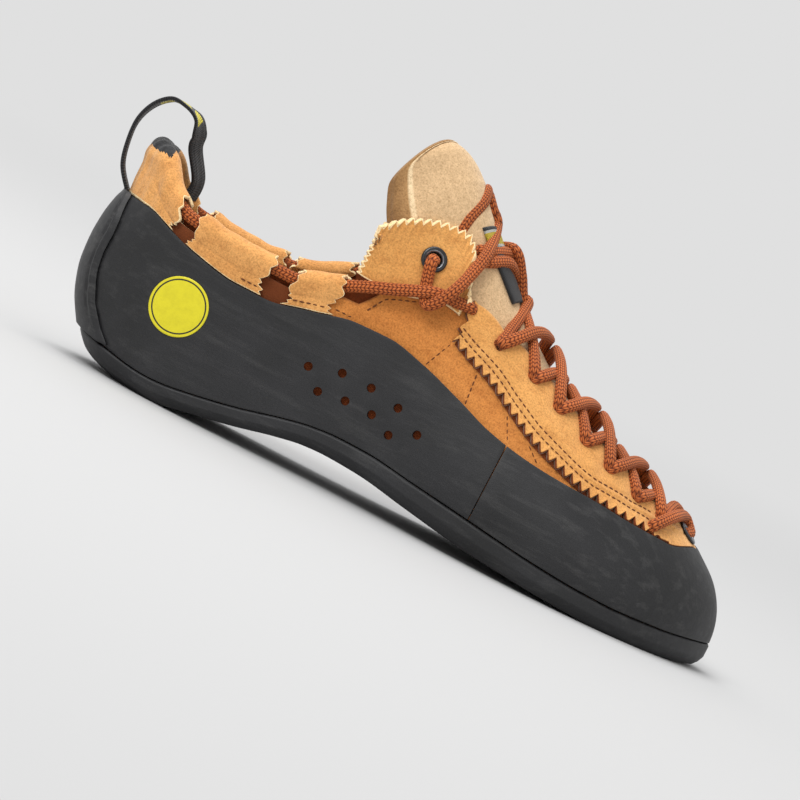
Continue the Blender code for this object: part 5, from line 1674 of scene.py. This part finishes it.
top_hole_turn, top_hole_up, _ = lace_hole(CROSSINGS[1], LATERAL)
rising = [(top_hole_turn, top_hole_up, LATERAL, -HIDDEN_END),
          (top_hole_turn, top_hole_up, LATERAL, EYESTAY_FACE + 0.0004),
          at(0.5617, 0.0905, LATERAL, 0.0026), at(0.553, 0.0968, LATERAL, 0.0022),
          at(0.528, 0.1010, LATERAL, 0.0050), over(0.503, 0.0056),
          at(0.486, 0.0990, MEDIAL, 0.0016), at(0.480, 0.0920, MEDIAL, -0.0006)]
lower_bar = [at(0.478, 0.0955, LATERAL, -0.0004), at(0.490, 0.0958, LATERAL, 0.0016),
             at(0.512, 0.0972, LATERAL, 0.0030), over(0.533, 0.0026),
             at(0.545, 0.0930, MEDIAL, 0.0026), at(0.556, 0.0850, MEDIAL, 0.0030),
             (top_hole_turn, top_hole_up, MEDIAL, EYESTAY_FACE),
             (top_hole_turn, top_hole_up, MEDIAL, -HIDDEN_END)]
upper_bar = [at(0.470, 0.0985, LATERAL, -0.0004), at(0.484, 0.0992, LATERAL, 0.0014),
             at(0.505, 0.1005, LATERAL, 0.0032), over(0.521, 0.0028),
             at(0.530, 0.0960, MEDIAL, 0.0016), at(0.528, 0.0870, MEDIAL, -0.0004)]
top_crossing = braided("braided_crossing_1", [run_over(rising), run_over(lower_bar),
                                              run_over(upper_bar)], braid)
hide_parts("lace_crossing_1")

INSIDE_WALL = -UPPER_WALL / 2.0
TAB_FACE = GAP + TAB_WALL
fold_rows = []
for signed in np.linspace(-CUFF_END, CUFF_END, 61):
    side = LATERAL if signed < 0.0 else MEDIAL
    fold_rows.append(at(abs(float(signed)), float(bar_height(abs(float(signed)), side)), side, INSIDE_WALL))
for side in (LATERAL, MEDIAL):
    front = [at(along, float(bar_height(along, side)), side, distance) for along, distance in
             ((0.346, 0.0006), (0.3705, TAB_FACE + 0.0012), (0.3945, TAB_FACE + 0.0018),
              (0.420, TAB_FACE + 0.0026), (0.445, TAB_FACE + 0.0036), (0.466, TAB_FACE + 0.0022),
              (0.482, TAB_FACE + 0.0006), (0.500, 0.0016), (0.509, -HIDDEN_END))]
    fold_rows = list(reversed(front)) + fold_rows if side == LATERAL else fold_rows + front
EYELET_TURN, EYELET_UP = ANKLE_EYELET
loop_rows = [(EYELET_TURN, EYELET_UP, LATERAL, -HIDDEN_END), (EYELET_TURN, EYELET_UP, LATERAL, 0.0028),
             at(0.4220, 0.0868, LATERAL, TAB_FACE + 0.0026), at(0.4270, 0.0822, LATERAL, TAB_FACE + 0.0016),
             at(0.4340, 0.0772, LATERAL, TAB_FACE + 0.0012), at(0.4430, 0.0735, LATERAL, TAB_FACE + 0.0020),
             at(0.4550, 0.0752, LATERAL, TAB_FACE + 0.0046), at(0.4650, 0.0800, LATERAL, TAB_FACE + 0.0060),
             at(0.4730, 0.0870, LATERAL, TAB_FACE + 0.0036), at(0.4800, 0.0975, LATERAL, 0.0034),
             at(0.4720, 0.1080, LATERAL, 0.0030), (float(turn_of(0.4560)), 0.985, LATERAL, 0.0034)]
loop_rows = loop_rows + [over(0.4420, 0.0036)] + mirrored(loop_rows)
back_rows = [at(0.4380, 0.0960, LATERAL, -0.0012), at(0.4395, 0.1060, LATERAL, 0.0010),
             at(0.4430, 0.1130, LATERAL, 0.0024)]
back_rows = back_rows + [over(0.4370, 0.0036)] + mirrored(back_rows)
ankle_lace = braided("braided_ankle_lace", [run_over(fold_rows, 1400), run_over(loop_rows, 900),
                                            run_over(back_rows, 300)], braid)
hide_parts("lace_ankle")


# Eyelets: two-part brass rings enamelled black, pressed through the tabs and the toe of the
# eyestay. Their enamel is worn to grey metal round the inner lip.
EYELET_HOLE = 0.0056
EYELET_FLANGE = 0.0094
EYELET_LIP = 0.0010
enamel = new_material("black_enamel", 0.28, specular=0.5)
colour_from(enamel, ramp(enamel, noise(enamel, 800.0, 3.0), ((0.3, to_linear(18, 18, 20)),
                                                            (0.7, to_linear(34, 34, 37)))))
bump(enamel, (noise(enamel, 1500.0, 2.0),), (0.00004,))
worn_metal = new_material("worn_metal", 0.35, specular=0.5)
worn_metal.node_tree.nodes["Principled BSDF"].inputs["Metallic"].default_value = 0.85
colour_from(worn_metal, ramp(worn_metal, noise(worn_metal, 900.0, 3.0),
                             ((0.3, to_linear(92, 94, 98)), (0.7, to_linear(150, 152, 156)))))
bump(worn_metal, (noise(worn_metal, 2200.0, 2.0),), (0.00005,))


BARREL_LENGTH = 0.0036
BARREL_WALL = 0.0004


def eyelet(name, node, turn, up, side, carrier_face):
    """A rolled flange and a short barrel, turned on one axis through the leather."""
    seat, above = off_skin(turn, up, side, carrier_face), off_skin(turn, up, side, carrier_face + 0.001)
    axis = Vector(above - seat).normalized()
    place = Vector(seat) + axis * EYELET_LIP * 0.4
    rotation = axis.to_track_quat("Z", "Y").to_euler()
    deselect_all()
    major = (EYELET_FLANGE + EYELET_HOLE) / 4.0
    minor = (EYELET_FLANGE - EYELET_HOLE) / 4.0
    bpy.ops.mesh.primitive_torus_add(major_segments=48, minor_segments=16, major_radius=major,
                                     minor_radius=minor)
    flange = bpy.context.object
    flange.scale = (1.0, 1.0, 0.62)
    bpy.ops.object.transform_apply(location=False, rotation=False, scale=True)
    flange.data.materials.append(enamel)
    flange.data.materials.append(worn_metal)
    for polygon in flange.data.polygons:
        centre = polygon.center
        if math.hypot(centre.x, centre.y) < EYELET_HOLE / 2.0 + 0.0007 and centre.z > 0.0001:
            polygon.material_index = 1
    bpy.ops.mesh.primitive_cylinder_add(vertices=48, radius=EYELET_HOLE / 2.0 + 0.00035,
                                        depth=BARREL_LENGTH, end_fill_type="NOTHING",
                                        location=(0.0, 0.0, -0.0016))
    barrel = bpy.context.object
    bpy.ops.object.transform_apply(location=True, rotation=False, scale=False)
    apply_modifier(barrel, "SOLIDIFY", "wall", thickness=BARREL_WALL, offset=-1.0)
    barrel.data.materials.append(enamel)
    deselect_all()
    barrel.select_set(True)
    flange.select_set(True)
    bpy.context.view_layer.objects.active = flange
    bpy.ops.object.join()
    flange.name = name
    flange.rotation_euler = rotation
    flange.location = place
    bpy.ops.object.transform_apply(location=True, rotation=True, scale=False)
    bpy.ops.object.shade_smooth_by_angle(angle=math.radians(50.0))
    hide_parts(node)
    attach(flange, "root")


for side, label in ((LATERAL, "lateral"), (MEDIAL, "medial")):
    eyelet(f"enamelled_ankle_eyelet_{label}", f"ankle_eyelet_{label}", *ANKLE_EYELET, side,
           GAP + TAB_WALL)
eyelet("enamelled_toe_eyelet", "toe_eyelet", *TOE_EYELET, GAP + EYESTAY_WALL)


# Pull loop: a strip of flat black webbing with a plain yellow woven mark, sewn to the heel outside
# and to the inner side of the collar.
LOOP_WIDTH = 0.0090
LOOP_THICKNESS = 0.0014
LOOP_SPAN = 0.0206
LOOP_TWIST = 0.42
LOOP_RISE = 0.0362
LOOP_FOOT = 0.0004
LOOP_END_DEPTH = 0.0055
LOOP_END_OVER = 0.0020
LOOP_END_ALONG = 0.058
LOOP_WAY = {
    "forward": (-0.087, -0.194, -0.199, -0.063, 0.175, 0.442, 0.689, 0.830, 0.900),
    "inward":  (0.000, 0.000, 0.000, 0.000, 0.020, 0.060, 0.140, 0.260, 0.410),
    "up":      (0.221, 0.472, 0.691, 0.884, 1.008, 1.008, 0.948, 0.820, 0.660),
}
loop_proud = FOLD_ROOM + CUFF_CLOTH + GAP + LOOP_THICKNESS / 2.0
loop_sunk = -(UPPER_WALL / 2.0 + fold_radius() + 2.5 * GAP + LOOP_THICKNESS / 2.0)
loop_end_turn = float(turn_of(LOOP_END_ALONG))
loop_across = unit(skin(loop_end_turn + 0.01, 0.2, MEDIAL) - skin(loop_end_turn - 0.01, 0.2, MEDIAL))
rand_back = float(rand_high(0.0))
loop_top = float(collar(LOOP_END_ALONG, MEDIAL))


def loop_stop(along, z, side, distance):
    return off_skin(float(turn_of(along)), float(rise(along, z)), side, distance)


loop_stops = [loop_stop(0.0, rand_back + LOOP_FOOT, LATERAL, loop_proud)]
for forward, inward, up in zip(LOOP_WAY["forward"], LOOP_WAY["inward"], LOOP_WAY["up"]):
    loop_stops.append(np.array((LOOP_SPAN * forward - loop_proud - GAP - HEEL_REST_ALONG,
                                LOOP_SPAN * inward, rand_back + LOOP_RISE * up)))
loop_stops.append(loop_stop(LOOP_END_ALONG, loop_top + LOOP_END_OVER, MEDIAL, loop_sunk))
loop_stops.append(loop_stop(LOOP_END_ALONG, loop_top - LOOP_END_DEPTH, MEDIAL, loop_sunk))
LOOP_RINGS = 160
loop_path = curve_through(loop_stops, LOOP_RINGS + 1)
loop_ahead = unit(np.gradient(loop_path, axis=0))
loop_share = np.linspace(0.0, 1.0, LOOP_RINGS + 1)
loop_twist = LOOP_TWIST * np.clip((loop_share - 0.25) / 0.45, 0.0, 1.0)[:, None]
loop_wide = np.array((0.0, 1.0, 0.0)) * (1.0 - loop_twist) + loop_across * loop_twist
loop_wide = unit(loop_wide - loop_ahead * (loop_wide * loop_ahead).sum(axis=1, keepdims=True))
loop_out = np.cross(loop_ahead, loop_wide)


def loop_places(u, v):
    """u along the webbing, v once round its flat section."""
    row = np.clip(np.rint(u * LOOP_RINGS).astype(int), 0, LOOP_RINGS)
    angle = v * 2.0 * math.pi
    flat = np.sign(np.cos(angle)) * np.abs(np.cos(angle)) ** 0.55
    thick = np.sign(np.sin(angle)) * np.abs(np.sin(angle)) ** 0.35
    cord = 1.0 + 0.10 * np.cos(v * 2.0 * math.pi * 14.0) * np.abs(np.sin(angle))
    return (loop_path[row] + loop_wide[row] * (flat * LOOP_WIDTH / 2.0)[:, None]
            + loop_out[row] * (thick * cord * LOOP_THICKNESS / 2.0)[:, None])


loop_look = new_material("loop_webbing", 0.70, sheen=0.2, specular=0.3)
loop_uv = add_node(loop_look, "ShaderNodeUVMap", uv_map="UVMap")
loop_split = add_node(loop_look, "ShaderNodeSeparateXYZ")
link(loop_look, loop_uv, loop_split.inputs[0])
ribs = add_node(loop_look, "ShaderNodeTexWave", bands_direction="X")
ribs.inputs["Scale"].default_value = 30.0
link(loop_look, loop_uv, ribs.inputs["Vector"])
MARK_YELLOW = to_linear(214, 200, 40)
LOOP_BLACK = to_linear(26, 26, 28)
across_mark = ramp(loop_look, loop_split, ((0.0, (0, 0, 0)), (0.19, (0, 0, 0)), (0.20, (1, 1, 1)),
                                           (0.30, (1, 1, 1)), (0.31, (0, 0, 0)), (0.69, (0, 0, 0)),
                                           (0.70, (1, 1, 1)), (0.80, (1, 1, 1)), (0.81, (0, 0, 0))),
                   output=1)
along_mark = ramp(loop_look, loop_split, ((0.0, (0, 0, 0)), (0.40, (0, 0, 0)), (0.41, (1, 1, 1)),
                                          (0.47, (1, 1, 1)), (0.48, (0, 0, 0)), (0.50, (1, 1, 1)),
                                          (0.56, (1, 1, 1)), (0.57, (0, 0, 0)), (0.59, (1, 1, 1)),
                                          (0.65, (1, 1, 1)), (0.66, (0, 0, 0))), output=0)
for colour_ramp in (across_mark, along_mark):
    colour_ramp.color_ramp.interpolation = "CONSTANT"
mark = mix(loop_look, "MULTIPLY", 1.0, across_mark, along_mark)
marked = mix(loop_look, "MIX", mark, LOOP_BLACK, MARK_YELLOW)
colour_from(loop_look, mix(loop_look, "MULTIPLY", 1.0, marked,
                           ramp(loop_look, ribs, ((0.0, (0.55, 0.55, 0.55)), (0.8, (1.1, 1.1, 1.1))))))
bump(loop_look, (ribs,), (0.0002,))
pull_loop = laid_grid("webbing_pull_loop", LOOP_RINGS, 64, loop_places, closed=True)
pull_loop.data.materials.append(loop_look)
close_ends()
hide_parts("pull_loop")
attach(pull_loop, "root")


# Insole: a thin brown fibre board with a soft top, cut to the inside of the shoe and glued to its
# bottom. It shows only down in the opening.
INSOLE_WALL = 0.0020


def insole_places(u, v):
    along = along_of(u)
    base = feather(along) + GAP
    step = np.where(v < 0.5, v, 1.0 - v) * 2.0
    side = np.where(v < 0.5, LATERAL, MEDIAL)
    edge = off_skin(u, 0.0, side, -(UPPER_WALL + 2.0 * GAP))
    centre = np.stack([edge[..., 0], BALL_WIDTH * read(TURN_TABLE, "crown", u, "turn"),
                       edge[..., 2]], axis=-1)
    reach = np.interp(step, (0.0, 0.46, 0.54, 1.0), (0.0, 1.0, 1.0, 0.0))
    points = centre + (edge - centre) * reach[..., None]
    points[..., 2] = base + INSOLE_WALL * np.interp(step, (0.0, 0.44, 0.54, 1.0), (1.0, 0.9, 0.0, 0.0))
    return points


board = suede_material("insole_board", to_linear(150, 108, 70), to_linear(124, 84, 52),
                       to_linear(88, 56, 32), 0.0001)
insole = laid_grid("board_insole", 160, 48, insole_places, closed=True)
insole.data.materials.append(board)
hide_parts("insole")
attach(insole, "root")
